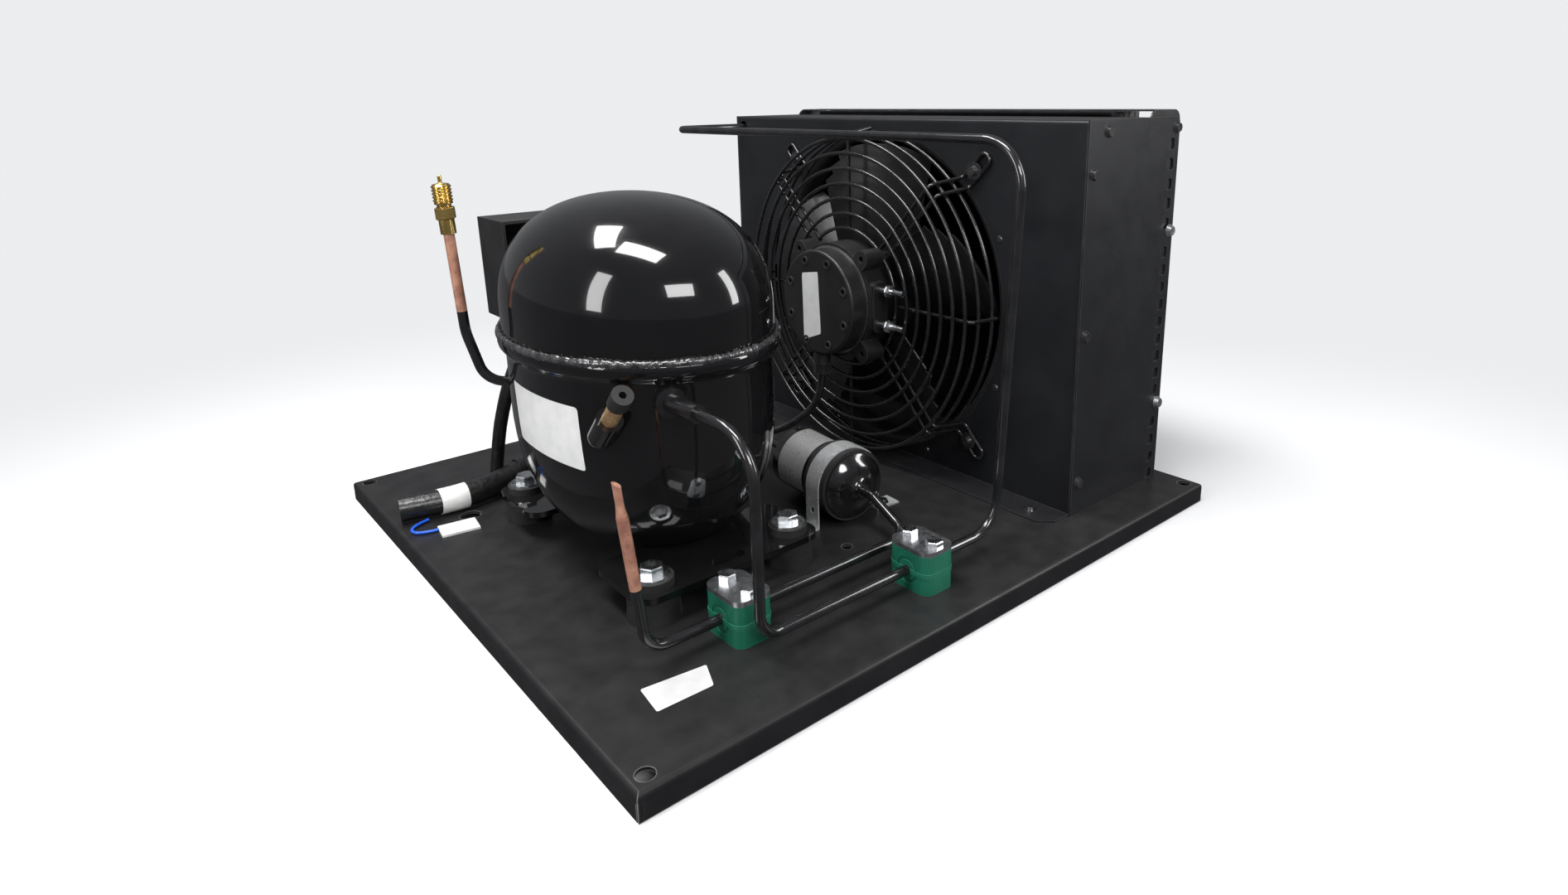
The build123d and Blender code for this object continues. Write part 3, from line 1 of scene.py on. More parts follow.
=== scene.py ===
"""Looks of the condensing unit: finishes, labels, cables and studio."""

import math
import random

import bpy
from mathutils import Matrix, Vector


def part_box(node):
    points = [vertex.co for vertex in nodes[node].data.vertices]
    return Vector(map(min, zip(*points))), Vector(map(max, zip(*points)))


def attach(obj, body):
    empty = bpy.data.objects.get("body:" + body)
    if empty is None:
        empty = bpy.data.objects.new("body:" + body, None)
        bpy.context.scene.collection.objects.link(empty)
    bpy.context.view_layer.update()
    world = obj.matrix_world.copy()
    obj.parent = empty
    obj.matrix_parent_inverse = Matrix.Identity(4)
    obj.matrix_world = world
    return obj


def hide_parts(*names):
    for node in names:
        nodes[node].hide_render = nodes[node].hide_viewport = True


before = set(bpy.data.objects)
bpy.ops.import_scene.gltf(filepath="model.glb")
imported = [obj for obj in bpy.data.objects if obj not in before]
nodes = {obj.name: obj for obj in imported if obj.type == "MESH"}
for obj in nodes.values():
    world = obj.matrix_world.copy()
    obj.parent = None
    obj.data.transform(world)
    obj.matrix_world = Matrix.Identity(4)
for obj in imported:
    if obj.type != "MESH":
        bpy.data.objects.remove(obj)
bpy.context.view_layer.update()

# ---------------------------------------------------------------------------
# Camera: a wide lens close to the front right corner, a little above the
# dome, so that the near corner of the tray spreads.
# ---------------------------------------------------------------------------

camera_data = bpy.data.cameras.new("camera")
camera_data.sensor_width = 36
camera_data.lens = 21.06
camera_data.shift_x = -0.0371
camera_data.shift_y = -0.0739
camera_data.clip_start = 0.01
camera = bpy.data.objects.new("camera", camera_data)
camera_place = (-0.40448, -0.55694, 0.31553)
camera_degrees = (75.615, 0.809, -41.189)
camera.location = camera_place
camera.rotation_euler = [math.radians(turn) for turn in camera_degrees]
bpy.context.scene.collection.objects.link(camera)
bpy.context.scene.camera = camera
bpy.context.scene.view_settings.view_transform = "Standard"

# ---------------------------------------------------------------------------
# Cables: flexible vinyl, laid loosely behind the compressor and on the tray.
# Each route is a list of points in millimetres, and the cable runs along it
# as one smooth line.
# ---------------------------------------------------------------------------


def vinyl_cable(name, route, radius, replaced):
    """A round cable that stands for a CAD node; route and radius are in mm."""
    curve = bpy.data.curves.new(name, "CURVE")
    curve.dimensions = "3D"
    line = curve.splines.new("NURBS")
    line.points.add(len(route) - 1)
    for point, (x, y, z) in zip(line.points, route):
        point.co = (x / 1000, y / 1000, z / 1000, 1)
    line.order_u = 3
    line.use_endpoint_u = True
    line.resolution_u = 16
    curve.bevel_depth = radius / 1000
    curve.bevel_resolution = 6
    curve.use_fill_caps = True
    cable = bpy.data.objects.new(name, curve)
    bpy.context.scene.collection.objects.link(cable)
    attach(cable, "unit")
    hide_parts(replaced)
    return cable


# the sleeve hangs from the terminal box to the tray
sleeve_route = [
    (-146, 112, 160), (-146, 112, 134), (-150, 133, 105),
    (-152, 148, 80), (-155, 160, 50), (-157.5, 166.5, 16.4),
]
sleeve_cable = vinyl_cable("starter_sleeve", sleeve_route, radius=5.2, replaced="terminal_sleeve")

# the mains lead, folded back on itself and taped for transport
bundle_route = [
    (-134.5, 144, 27.2), (-140, 141, 27), (-162, 130.5, 25.4),
    (-187, 122.5, 25), (-212, 121.5, 25), (-243, 129.4, 25),
]
bundle_cable = vinyl_cable("loom", bundle_route, radius=9.2, replaced="cable_bundle")

# the fan motor's lead, round the back of the compressor into the bundle
motor_route = [
    (61.5, 5, 100.5), (61.5, 5, 74), (50, 24, 48),
    (30, 50, 34), (0, 85, 24), (-38, 118, 19.5),
    (-80, 143, 18.5), (-114.8, 153, 28.8), (-140, 141, 27),
]
motor_lead = vinyl_cable("fan_motor_lead", motor_route, radius=3.1, replaced="motor_cable")

# the thin wire from the bundle to its flag label
label_route = [
    (-228, 115.2, 17), (-237, 113, 16.6), (-243, 107, 16.4),
    (-242, 99.5, 16.4), (-235, 95.5, 16.4), (-227.5, 94.5, 16.4),
]
label_lead = vinyl_cable("label_lead", label_route, radius=1.1, replaced="label_wire")

# ---------------------------------------------------------------------------
# Studio: a plain pale floor that fades into a pale backdrop, two soft lamps
# overhead and one each at the left, the front and the right, which show as
# highlights in the gloss enamel.
# ---------------------------------------------------------------------------

floor_reach = 8
floor_gap = 0.0002
fade_start = 0.30
fade_end = 0.95
backdrop_tone = (0.84, 0.85, 0.86, 1)
floor_corners = [(floor_reach * x, floor_reach * y, 0) for x, y in ((-1, -1), (1, -1), (1, 1), (-1, 1))]
floor_mesh = bpy.data.meshes.new("floor")
floor_mesh.from_pydata(floor_corners, [], [(0, 1, 2, 3)])
floor = bpy.data.objects.new("floor", floor_mesh)
bpy.context.scene.collection.objects.link(floor)
floor.location.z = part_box("base_tray")[0].z - floor_gap
floor_finish = bpy.data.materials.new("pale floor")
floor_finish.use_nodes = True
floor_tree = floor_finish.node_tree
floor_shader = floor_tree.nodes["Principled BSDF"]
floor_shader.inputs["Base Color"].default_value = (0.80, 0.80, 0.81, 1)
floor_shader.inputs["Roughness"].default_value = 0.8
floor_shader.inputs["Specular IOR Level"].default_value = 0.1
# away from the object the floor runs out into the pale backdrop
floor_glow = floor_tree.nodes.new("ShaderNodeEmission")
floor_glow.inputs["Color"].default_value = backdrop_tone
floor_place = floor_tree.nodes.new("ShaderNodeTexCoord")
floor_far = floor_tree.nodes.new("ShaderNodeVectorMath")
floor_far.operation = "LENGTH"
floor_fade = floor_tree.nodes.new("ShaderNodeMapRange")
floor_fade.interpolation_type = "SMOOTHSTEP"
floor_fade.inputs["From Min"].default_value = fade_start
floor_fade.inputs["From Max"].default_value = fade_end
floor_mix = floor_tree.nodes.new("ShaderNodeMixShader")
floor_tree.links.new(floor_place.outputs["Object"], floor_far.inputs[0])
floor_tree.links.new(floor_far.outputs["Value"], floor_fade.inputs["Value"])
floor_tree.links.new(floor_fade.outputs["Result"], floor_mix.inputs["Fac"])
floor_tree.links.new(floor_shader.outputs[0], floor_mix.inputs[1])
floor_tree.links.new(floor_glow.outputs[0], floor_mix.inputs[2])
# in gloss surfaces the studio's walls and floor read as grey
floor_rays = floor_tree.nodes.new("ShaderNodeLightPath")
floor_dim = floor_tree.nodes.new("ShaderNodeEmission")
floor_dim.inputs["Color"].default_value = (0.10, 0.10, 0.105, 1)
floor_view = floor_tree.nodes.new("ShaderNodeMixShader")
floor_tree.links.new(floor_rays.outputs["Is Glossy Ray"], floor_view.inputs["Fac"])
floor_tree.links.new(floor_mix.outputs[0], floor_view.inputs[1])
floor_tree.links.new(floor_dim.outputs[0], floor_view.inputs[2])
floor_out = floor_tree.nodes["Material Output"]
floor_tree.links.new(floor_view.outputs[0], floor_out.inputs["Surface"])
floor.data.materials.append(floor_finish)

# the backdrop is bright to the camera and lights the object only a little
world = bpy.data.worlds.new("studio")
bpy.context.scene.world = world
world.use_nodes = True
sky = world.node_tree
sky.nodes.clear()
sky_out = sky.nodes.new("ShaderNodeOutputWorld")
sky_mix = sky.nodes.new("ShaderNodeMixShader")
sky_light = sky.nodes.new("ShaderNodeBackground")
sky_seen = sky.nodes.new("ShaderNodeBackground")
sky_rays = sky.nodes.new("ShaderNodeLightPath")
sky_light.inputs["Color"].default_value = (0.93, 0.95, 1.0, 1)
sky_light.inputs["Strength"].default_value = 0.2
sky_seen.inputs["Color"].default_value = backdrop_tone
sky_seen.inputs["Strength"].default_value = 1.0
sky.links.new(sky_rays.outputs["Is Camera Ray"], sky_mix.inputs["Fac"])
sky.links.new(sky_light.outputs[0], sky_mix.inputs[1])
sky.links.new(sky_seen.outputs[0], sky_mix.inputs[2])
sky.links.new(sky_mix.outputs[0], sky_out.inputs["Surface"])


def soft_lamp(name, place, target, width, height, power):
    """A rectangular soft lamp at a place, facing a target; sizes in metres, power in watts."""
    lamp_data = bpy.data.lights.new(name, "AREA")
    lamp_data.shape = "RECTANGLE"
    lamp_data.size = width
    lamp_data.size_y = height
    lamp_data.energy = power
    lamp = bpy.data.objects.new(name, lamp_data)
    lamp.location = place
    lamp.rotation_euler = (Vector(target) - Vector(place)).to_track_quat("-Z", "Y").to_euler()
    bpy.context.scene.collection.objects.link(lamp)


soft_lamp("overhead lamp", (-0.45, -0.15, 1.5), (-0.05, 0, 0.1), 0.7, 0.35, 16)
soft_lamp("second overhead lamp", (-0.45, 0.55, 1.5), (-0.05, 0, 0.1), 0.7, 0.3, 12)
soft_lamp("left lamp", (-1.5, -0.1, 0.75), (-0.1, 0, 0.15), 0.3, 1.0, 9)
soft_lamp("front lamp", (-0.5, -1.7, 1.2), (0, 0, 0.15), 0.9, 0.5, 18)
soft_lamp("right lamp", (0.9, -1.0, 0.7), (0, 0, 0.15), 0.25, 0.9, 8)

# ---------------------------------------------------------------------------
# Base tray: one folded steel sheet with open corners, in satin black powder
# coat that holds a little dust, its folds painted brighter, part wear and
# part painted highlight.
# ---------------------------------------------------------------------------


def shader_group(name, inputs, outputs):
    """A node group with number inputs and outputs, with its two end nodes."""
    group = bpy.data.node_groups.new(name, "ShaderNodeTree")
    for label, value in inputs:
        socket = group.interface.new_socket(label, in_out="INPUT", socket_type="NodeSocketFloat")
        socket.default_value = value
    for label in outputs:
        group.interface.new_socket(label, in_out="OUTPUT", socket_type="NodeSocketFloat")
    return group, group.nodes.new("NodeGroupInput"), group.nodes.new("NodeGroupOutput")


def math_node(tree, operation, first, second=None, clamp=False):
    """One math node on two inputs, each a socket or a number."""
    node = tree.nodes.new("ShaderNodeMath")
    node.operation = operation
    node.use_clamp = clamp
    for slot_index, value in enumerate((first, second)):
        if value is None:
            continue
        if isinstance(value, (int, float)):
            node.inputs[slot_index].default_value = value
        else:
            tree.links.new(value, node.inputs[slot_index])
    return node.outputs[0]


# speckle: soft patches of a given size, spread over 0 to 1
speckle, speckle_in, speckle_out = shader_group(
    "speckle", [("Scale", 200), ("Detail", 3), ("Low", 0.35), ("High", 0.65)], ["Value"])
speckle_place = speckle.nodes.new("ShaderNodeTexCoord")
speckle_noise = speckle.nodes.new("ShaderNodeTexNoise")
speckle_map = speckle.nodes.new("ShaderNodeMapRange")
speckle.links.new(speckle_place.outputs["Object"], speckle_noise.inputs["Vector"])
speckle.links.new(speckle_in.outputs["Scale"], speckle_noise.inputs["Scale"])
speckle.links.new(speckle_in.outputs["Detail"], speckle_noise.inputs["Detail"])
speckle.links.new(speckle_noise.outputs["Fac"], speckle_map.inputs["Value"])
speckle.links.new(speckle_in.outputs["Low"], speckle_map.inputs["From Min"])
speckle.links.new(speckle_in.outputs["High"], speckle_map.inputs["From Max"])
speckle.links.new(speckle_map.outputs["Result"], speckle_out.inputs["Value"])

# worn and highlighted edges: painted bright where the surface turns sharply, broken up by patches; part
# wear, part painted highlight
edge_gain = 7.0
wear_and_highlight, wear_and_highlight_in, wear_and_highlight_out = shader_group(
    "worn and highlighted edges", [("Width", 0.0008), ("Scale", 90), ("Strength", 1)], ["Mask"])
wear_and_highlight_bevel = wear_and_highlight.nodes.new("ShaderNodeBevel")
wear_and_highlight_bevel.samples = 4
wear_and_highlight_geometry = wear_and_highlight.nodes.new("ShaderNodeNewGeometry")
wear_and_highlight_dot = wear_and_highlight.nodes.new("ShaderNodeVectorMath")
wear_and_highlight_dot.operation = "DOT_PRODUCT"
wear_and_highlight_place = wear_and_highlight.nodes.new("ShaderNodeTexCoord")
wear_and_highlight_noise = wear_and_highlight.nodes.new("ShaderNodeTexNoise")
wear_and_highlight.links.new(wear_and_highlight_in.outputs["Width"], wear_and_highlight_bevel.inputs["Radius"])
wear_and_highlight.links.new(wear_and_highlight_bevel.outputs["Normal"], wear_and_highlight_dot.inputs[0])
wear_and_highlight.links.new(wear_and_highlight_geometry.outputs["Normal"], wear_and_highlight_dot.inputs[1])
wear_and_highlight.links.new(wear_and_highlight_place.outputs["Object"], wear_and_highlight_noise.inputs["Vector"])
wear_and_highlight.links.new(wear_and_highlight_in.outputs["Scale"], wear_and_highlight_noise.inputs["Scale"])
wear_and_highlight_turn = math_node(wear_and_highlight, "SUBTRACT", 1.0, wear_and_highlight_dot.outputs["Value"], clamp=True)
wear_and_highlight_edge = math_node(wear_and_highlight, "MULTIPLY", wear_and_highlight_turn, edge_gain, clamp=True)
wear_and_highlight_break = math_node(wear_and_highlight, "MULTIPLY", wear_and_highlight_edge, wear_and_highlight_noise.outputs["Fac"], clamp=True)
wear_and_highlight_full = math_node(wear_and_highlight, "MULTIPLY", wear_and_highlight_break, wear_and_highlight_in.outputs["Strength"], clamp=True)
wear_and_highlight.links.new(wear_and_highlight_full, wear_and_highlight_out.inputs["Mask"])

# dust: a thin pale film on faces that look up
dust_slope = 0.5
dust, dust_in, dust_out = shader_group("dust", [("Amount", 0.1), ("Scale", 60)], ["Mask"])
dust_geometry = dust.nodes.new("ShaderNodeNewGeometry")
dust_split = dust.nodes.new("ShaderNodeSeparateXYZ")
dust_place = dust.nodes.new("ShaderNodeTexCoord")
dust_noise = dust.nodes.new("ShaderNodeTexNoise")
dust_noise.inputs["Detail"].default_value = 6
dust.links.new(dust_geometry.outputs["Normal"], dust_split.inputs[0])
dust.links.new(dust_place.outputs["Object"], dust_noise.inputs["Vector"])
dust.links.new(dust_in.outputs["Scale"], dust_noise.inputs["Scale"])
dust_up = math_node(dust, "SUBTRACT", dust_split.outputs["Z"], dust_slope, clamp=True)
dust_patch = math_node(dust, "MULTIPLY", dust_up, dust_noise.outputs["Fac"])
dust_full = math_node(dust, "MULTIPLY", dust_patch, dust_in.outputs["Amount"], clamp=True)
dust.links.new(dust_full, dust_out.inputs["Mask"])


def place_group(tree, group, **values):
    """The output of a group placed in a material, with its inputs set."""
    node = tree.nodes.new("ShaderNodeGroup")
    node.node_tree = group
    for label, value in values.items():
        node.inputs[label].default_value = value
    return node.outputs[0]


def mix_colour(tree, mask, first, second):
    """Two colours mixed by a mask; each is a socket or three numbers."""
    node = tree.nodes.new("ShaderNodeMix")
    node.data_type = "RGBA"
    tree.links.new(mask, node.inputs["Factor"])
    for label, value in (("A", first), ("B", second)):
        socket = [s for s in node.inputs if s.name == label and s.type == "RGBA"][0]
        if isinstance(value, tuple):
            socket.default_value = (*value, 1)
        else:
            tree.links.new(value, socket)
    return [s for s in node.outputs if s.type == "RGBA"][0]


dust_colour = (0.5, 0.49, 0.47)
gloss_patch = 2.3
relief_strength = 0.6


def finish(name, colour, second, rough=(0.4, 0.5), patch=60, metallic=0.0, coat=0.0, coat_rough=0.05,
           grain=900, relief=0.0, wear_and_highlight_colour=None, wear_and_highlight_width=0.0008, wear_and_highlight_strength=1.0, film=0.0, specular=0.5):
    """A surface with patches of two colours and uneven gloss.

    patch and grain are patches to the metre of the colour and of the relief.
    relief is the depth of the grain, in metres.  The edge arguments give the
    width, in metres, and the colour of the bright edges, which are part wear
    and part painted highlight; film is the dust.
    """
    material = bpy.data.materials.new(name)
    material.use_nodes = True
    tree = material.node_tree
    shader = tree.nodes["Principled BSDF"]
    shader.inputs["Metallic"].default_value = metallic
    shader.inputs["Coat Weight"].default_value = coat
    shader.inputs["Coat Roughness"].default_value = coat_rough
    shader.inputs["Specular IOR Level"].default_value = specular
    patches = place_group(tree, speckle, Scale=patch, Detail=4)
    tone = mix_colour(tree, patches, colour, second)
    # the edges are painted bright: part wear, part painted highlight
    if wear_and_highlight_colour:
        edges = place_group(tree, wear_and_highlight, Width=wear_and_highlight_width, Strength=wear_and_highlight_strength)
        tone = mix_colour(tree, edges, tone, wear_and_highlight_colour)
    if film:
        tone = mix_colour(tree, place_group(tree, dust, Amount=film), tone, dust_colour)
    tree.links.new(tone, shader.inputs["Base Color"])
    spread = tree.nodes.new("ShaderNodeMapRange")
    spread.inputs["To Min"].default_value = rough[0]
    spread.inputs["To Max"].default_value = rough[1]
    gloss = place_group(tree, speckle, Scale=patch * gloss_patch, Detail=5, Low=0.3, High=0.7)
    tree.links.new(gloss, spread.inputs["Value"])
    tree.links.new(spread.outputs["Result"], shader.inputs["Roughness"])
    if relief:
        bump = tree.nodes.new("ShaderNodeBump")
        bump.inputs["Distance"].default_value = relief
        bump.inputs["Strength"].default_value = relief_strength
        height = place_group(tree, speckle, Scale=grain, Detail=2, Low=0.2, High=0.8)
        tree.links.new(height, bump.inputs["Height"])
        tree.links.new(bump.outputs["Normal"], shader.inputs["Normal"])
    return material


def give(material, *names):
    """Puts one finish on each of the CAD nodes named."""
    for name in names:
        mesh = nodes[name].data
        mesh.materials.clear()
        mesh.materials.append(material)


# the folds are painted pale: part wear, part painted highlight
tray_coat = finish("satin black coat", (0.0075, 0.0075, 0.0085), (0.011, 0.011, 0.012),
                   rough=(0.34, 0.44), patch=30, grain=1400, relief=0.00005, wear_and_highlight_colour=(0.42, 0.41, 0.38),
                   wear_and_highlight_width=0.0009, film=0.07, specular=0.3)
give(tray_coat, "base_tray")

# ---------------------------------------------------------------------------
# Compressor housing: two deep-drawn steel shells, welded at the seam and
# dipped in gloss black enamel.  The weld shows as a rough shiny bead.
# ---------------------------------------------------------------------------

shell_centre = Vector((-0.117, -0.017, 0))
# the shell is this many times as long, along Y, as it is wide
shell_oval = 1.306
shell_sides = 160
dome_radius = 0.082
middle_radius = 0.00005


def mesh_piece(name, verts, faces, material, smooth=True):
    """A new mesh object in the scene, with one finish."""
    mesh = bpy.data.meshes.new(name)
    mesh.from_pydata(verts, [], faces)
    if smooth:
        for face in mesh.polygons:
            face.use_smooth = True
    mesh.materials.append(material)
    piece = bpy.data.objects.new(name, mesh)
    bpy.context.scene.collection.objects.link(piece)
    return piece


def ring_faces(rings, sides):
    """The faces between rings of points, each ring with the same number of sides."""
    faces = []
    for ring in range(rings - 1):
        low, high = ring * sides, (ring + 1) * sides
        for i in range(sides):
            j = (i + 1) % sides
            faces.append((low + i, low + j, high + j, high + i))
    return faces


def shell_half(name, outline, node):
    """Half of the shell, turned from pairs of radius and height, for a CAD node."""
    verts = []
    for radius, height in outline:
        for i in range(shell_sides):
            angle = 2 * math.pi * i / shell_sides
            along_x = shell_centre.x + radius * math.cos(angle)
            along_y = shell_centre.y + shell_oval * radius * math.sin(angle)
            verts.append((along_x, along_y, height))
    piece = mesh_piece(name, verts, ring_faces(len(outline), shell_sides), enamel)
    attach(piece, "unit")
    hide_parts(node)


def pressed_end(half_width, spring, tip, fullness, steps=26):
    """A pressed end, from its straight wall to its middle; sizes in mm."""
    rise = tip - spring
    corners = [
        (half_width, spring),
        (half_width, spring + rise * fullness),
        (half_width * fullness, tip),
        (0.0, tip),
    ]
    points = []
    for i in range(steps + 1):
        t = i / steps
        weights = ((1 - t) ** 3, 3 * t * (1 - t) ** 2, 3 * t * t * (1 - t), t ** 3)
        points.append(tuple(sum(w * c[k] for w, c in zip(weights, corners)) / 1000 for k in (0, 1)))
    points[-1] = (middle_radius, points[-1][1])
    return points


enamel = finish("gloss black enamel", (0.0035, 0.0035, 0.004), (0.006, 0.006, 0.0065), rough=(0.10, 0.17),
                patch=14, coat=1.0, coat_rough=0.03, grain=260, relief=0.00002, film=0.03, specular=0.15)
dome_wall = [(dome_radius, 0.169), (dome_radius, 0.180)]
dome = dome_wall + pressed_end(half_width=82, spring=188, tip=258, fullness=0.62)
shell_half("dome", dome, "compressor_upper_shell")
bowl_rim = [
    (0.0815, 0.1692), (0.0846, 0.1690), (0.085, 0.1684), (0.085, 0.1640), (0.0846, 0.1622),
    (0.0832, 0.1602), (0.0817, 0.1588), (0.0808, 0.1570), (0.0805, 0.1540), (0.0805, 0.138),
]
bowl = bowl_rim + pressed_end(half_width=80.5, spring=122, tip=24, fullness=0.68)
shell_half("bowl", bowl, "compressor_lower_shell")

# the weld bead, laid in short overlapping ripples round the seam
bead_radius = 0.0836
bead_height = 0.1697
bead_proud = 0.0021
bead_half_height = 0.0026
bead_drift = 0.0003
bead_steps = 420
bead_sides = 10
ripple_depth = 0.16
ripple_stride = 7
wave_depth = 0.08
wave_step = 1.9
bead_finish = finish("weld bead", (0.012, 0.012, 0.013), (0.05, 0.05, 0.052), rough=(0.12, 0.4),
                     patch=220, coat=1.0, coat_rough=0.06, grain=700, relief=0.0005)
random.seed(4)
bead_ripple = [random.uniform(-1, 1) for _ in range(bead_steps)]
bead_verts = []
bead_faces = []
for i in range(bead_steps):
    angle = 2 * math.pi * i / bead_steps
    swell = 1 + ripple_depth * bead_ripple[i] + wave_depth * math.sin(i * wave_step)
    drift = bead_drift * bead_ripple[(i * ripple_stride) % bead_steps]
    here = i * bead_sides
    ahead = ((i + 1) % bead_steps) * bead_sides
    for k in range(bead_sides):
        turn = 2 * math.pi * k / bead_sides
        beside = (k + 1) % bead_sides
        radius = bead_radius + bead_proud * swell * math.cos(turn)
        height = bead_height + drift + bead_half_height * swell * math.sin(turn)
        along_x = shell_centre.x + radius * math.cos(angle)
        along_y = shell_centre.y + (shell_oval * dome_radius + radius - dome_radius) * math.sin(angle)
        bead_verts.append((along_x, along_y, height))
        bead_faces.append((here + k, here + beside, ahead + beside, ahead + k))
bead_piece = mesh_piece("weld_bead", bead_verts, bead_faces, bead_finish)
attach(bead_piece, "unit")

# ---------------------------------------------------------------------------
# Rating label: a bare white paper sticker with rounded corners, stuck on the
# bowl's flank and following its curve.
# ---------------------------------------------------------------------------

label_proud = 0.0003
# each corner's turn round the bowl in degrees, and its height
rating_corners = [(170.2, 0.1443, 0), (209.3, 0.1406, 0), (210.4, 0.1003, 0), (172.8, 0.1067, 0)]
label_finish = finish("label paper", (0.60, 0.60, 0.60), (0.66, 0.66, 0.65), rough=(0.32, 0.42),
                      patch=120, coat=0.3, coat_rough=0.2)


def bowl_width(height):
    """Half width of the bowl at a height, in metres."""
    for (upper, upper_height), (lower, lower_height) in zip(bowl, bowl[1:]):
        if lower_height <= height <= upper_height and upper_height > lower_height:
            return upper + (lower - upper) * (upper_height - height) / (upper_height - lower_height)
    return bowl[-1][0]


def sticker(name, place, material, corner_u=0.06, corner_v=0.10, columns=36, rows=20):
    """A thin sticker with rounded corners; place(u, v) gives each point on it."""
    verts, faces = [], []
    for row in range(rows + 1):
        for column in range(columns + 1):
            across = 2 * column / columns - 1
            down = 2 * row / rows - 1
            past_u = (abs(across) - 1 + corner_u) / corner_u
            past_v = (abs(down) - 1 + corner_v) / corner_v
            past = math.hypot(past_u, past_v)
            if past_u > 0 and past_v > 0 and past > 1:
                across = math.copysign(1 - corner_u + corner_u * past_u / past, across)
                down = math.copysign(1 - corner_v + corner_v * past_v / past, down)
            verts.append(place((across + 1) / 2, (down + 1) / 2))
    for row in range(rows):
        for column in range(columns):
            first = row * (columns + 1) + column
            faces.append((first, first + 1, first + columns + 2, first + columns + 1))
    piece = mesh_piece(name, verts, faces, material)
    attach(piece, "unit")


def between(corners, u, v):
    """A point of a four-cornered patch: top left, top right, low right, low left."""
    top = Vector(corners[0]).lerp(Vector(corners[1]), u)
    low = Vector(corners[3]).lerp(Vector(corners[2]), u)
    return top.lerp(low, v)


def on_bowl(u, v):
    """A point of the rating label, just proud of the bowl."""
    spot = between(rating_corners, u, v)
    turn = math.radians(spot.x)
    width = bowl_width(spot.y) + label_proud
    along_x = shell_centre.x + width * math.cos(turn)
    along_y = shell_centre.y + shell_oval * width * math.sin(turn)
    return (along_x, along_y, spot.y)


sticker("rating_label", on_bowl, label_finish)

# ---------------------------------------------------------------------------
# Tray sticker: a bare strip of the same white paper, stuck flat on the tray
# beside the liquid stub.
# ---------------------------------------------------------------------------

strip_height = 0.0152
strip_corners = [
    (-0.211, -0.168, strip_height), (-0.173, -0.173, strip_height),
    (-0.180, -0.191, strip_height), (-0.2136, -0.190, strip_height),
]


def on_tray(u, v):
    """A point of the strip, flat on the tray."""
    return between(strip_corners, u, v)


sticker("tray_label", on_tray, label_finish, corner_u=0.05, corner_v=0.15)

# ---------------------------------------------------------------------------
# Feet: black pressed plates welded to the bowl, on moulded rubber grommets
# held down by zinc plated bolts with plain washers.
# ---------------------------------------------------------------------------

rubber = finish("matt rubber", (0.008, 0.008, 0.008), (0.015, 0.015, 0.015), rough=(0.55, 0.75), patch=50,
                grain=1100, relief=0.00008, film=0.08)
zinc = finish("bright zinc plate", (0.62, 0.64, 0.67), (0.78, 0.79, 0.80), rough=(0.16, 0.36), patch=70,
              metallic=1.0, grain=500, relief=0.00003, wear_and_highlight_colour=(0.9, 0.9, 0.9), wear_and_highlight_width=0.0004)
give(enamel, "foot_plates", "suction_socket")
give(rubber, "rubber_grommets", "suction_plug", "drier_cushion")
give(zinc, "grommet_sleeves", "foot_washers", "foot_bolts", "foot_nuts", "clamp_bolts", "clamp_nuts",
     "coil_screws", "motor_studs")

# ---------------------------------------------------------------------------
# Pipe clamps: two moulded halves of green polypropylene round each pair of
# pipes, held down by two bolts through a spangled zinc plate.
# ---------------------------------------------------------------------------

clamp_green = finish("green polypropylene", (0.006, 0.105, 0.060), (0.009, 0.135, 0.080),
                     rough=(0.34, 0.46), patch=60, grain=800, relief=0.00004, wear_and_highlight_colour=(0.05, 0.26, 0.17),
                     wear_and_highlight_width=0.0007, wear_and_highlight_strength=0.8, film=0.04)
clamp_zinc = finish("spangled zinc plate", (0.50, 0.51, 0.53), (0.64, 0.65, 0.67), rough=(0.28, 0.42),
                    patch=170, metallic=1.0, wear_and_highlight_colour=(0.92, 0.92, 0.92), wear_and_highlight_width=0.0006)
give(clamp_green, "clamp_lower_halves", "clamp_upper_halves")
give(clamp_zinc, "clamp_plates")

# ---------------------------------------------------------------------------
# Pipework: thin steel tube in gloss black, copper stubs left bare where they
# are brazed and pinched.
# ---------------------------------------------------------------------------

pipe_enamel = finish("pipe enamel", (0.006, 0.006, 0.0065), (0.012, 0.012, 0.013), rough=(0.16, 0.28),
                     patch=60, coat=0.7, coat_rough=0.08, grain=500, relief=0.00003)
copper = finish("brazed copper", (0.78, 0.40, 0.27), (0.42, 0.19, 0.14), rough=(0.26, 0.45), patch=110,
                metallic=0.6, grain=400, relief=0.00006, wear_and_highlight_colour=(0.9, 0.6, 0.45), wear_and_highlight_width=0.0005)
brass = finish("turned brass", (0.86, 0.62, 0.22), (0.78, 0.54, 0.18), rough=(0.18, 0.3), patch=60,
               metallic=1.0)
tube_brass = finish("stub tube", (0.66, 0.45, 0.22), (0.44, 0.26, 0.13), rough=(0.22, 0.36), patch=150,
                    metallic=0.7)
give(pipe_enamel, "discharge_socket", "discharge_line", "liquid_line", "condenser_line", "service_elbow")
give(copper, "liquid_stub", "service_tube", "coil_tube")
give(tube_brass, "suction_stub")
give(brass, "service_valve_body", "service_valve_pin")

# ---------------------------------------------------------------------------
# Service valve: turned brass on the copper tube, with a hexagon, a threaded
# neck and the stem of its spring-loaded core standing out at the top.
# ---------------------------------------------------------------------------

valve_foot = Vector((-0.2150, 0.0350, 0.2429))
valve_axis = Vector((-3.4, 0, 71)).normalized()


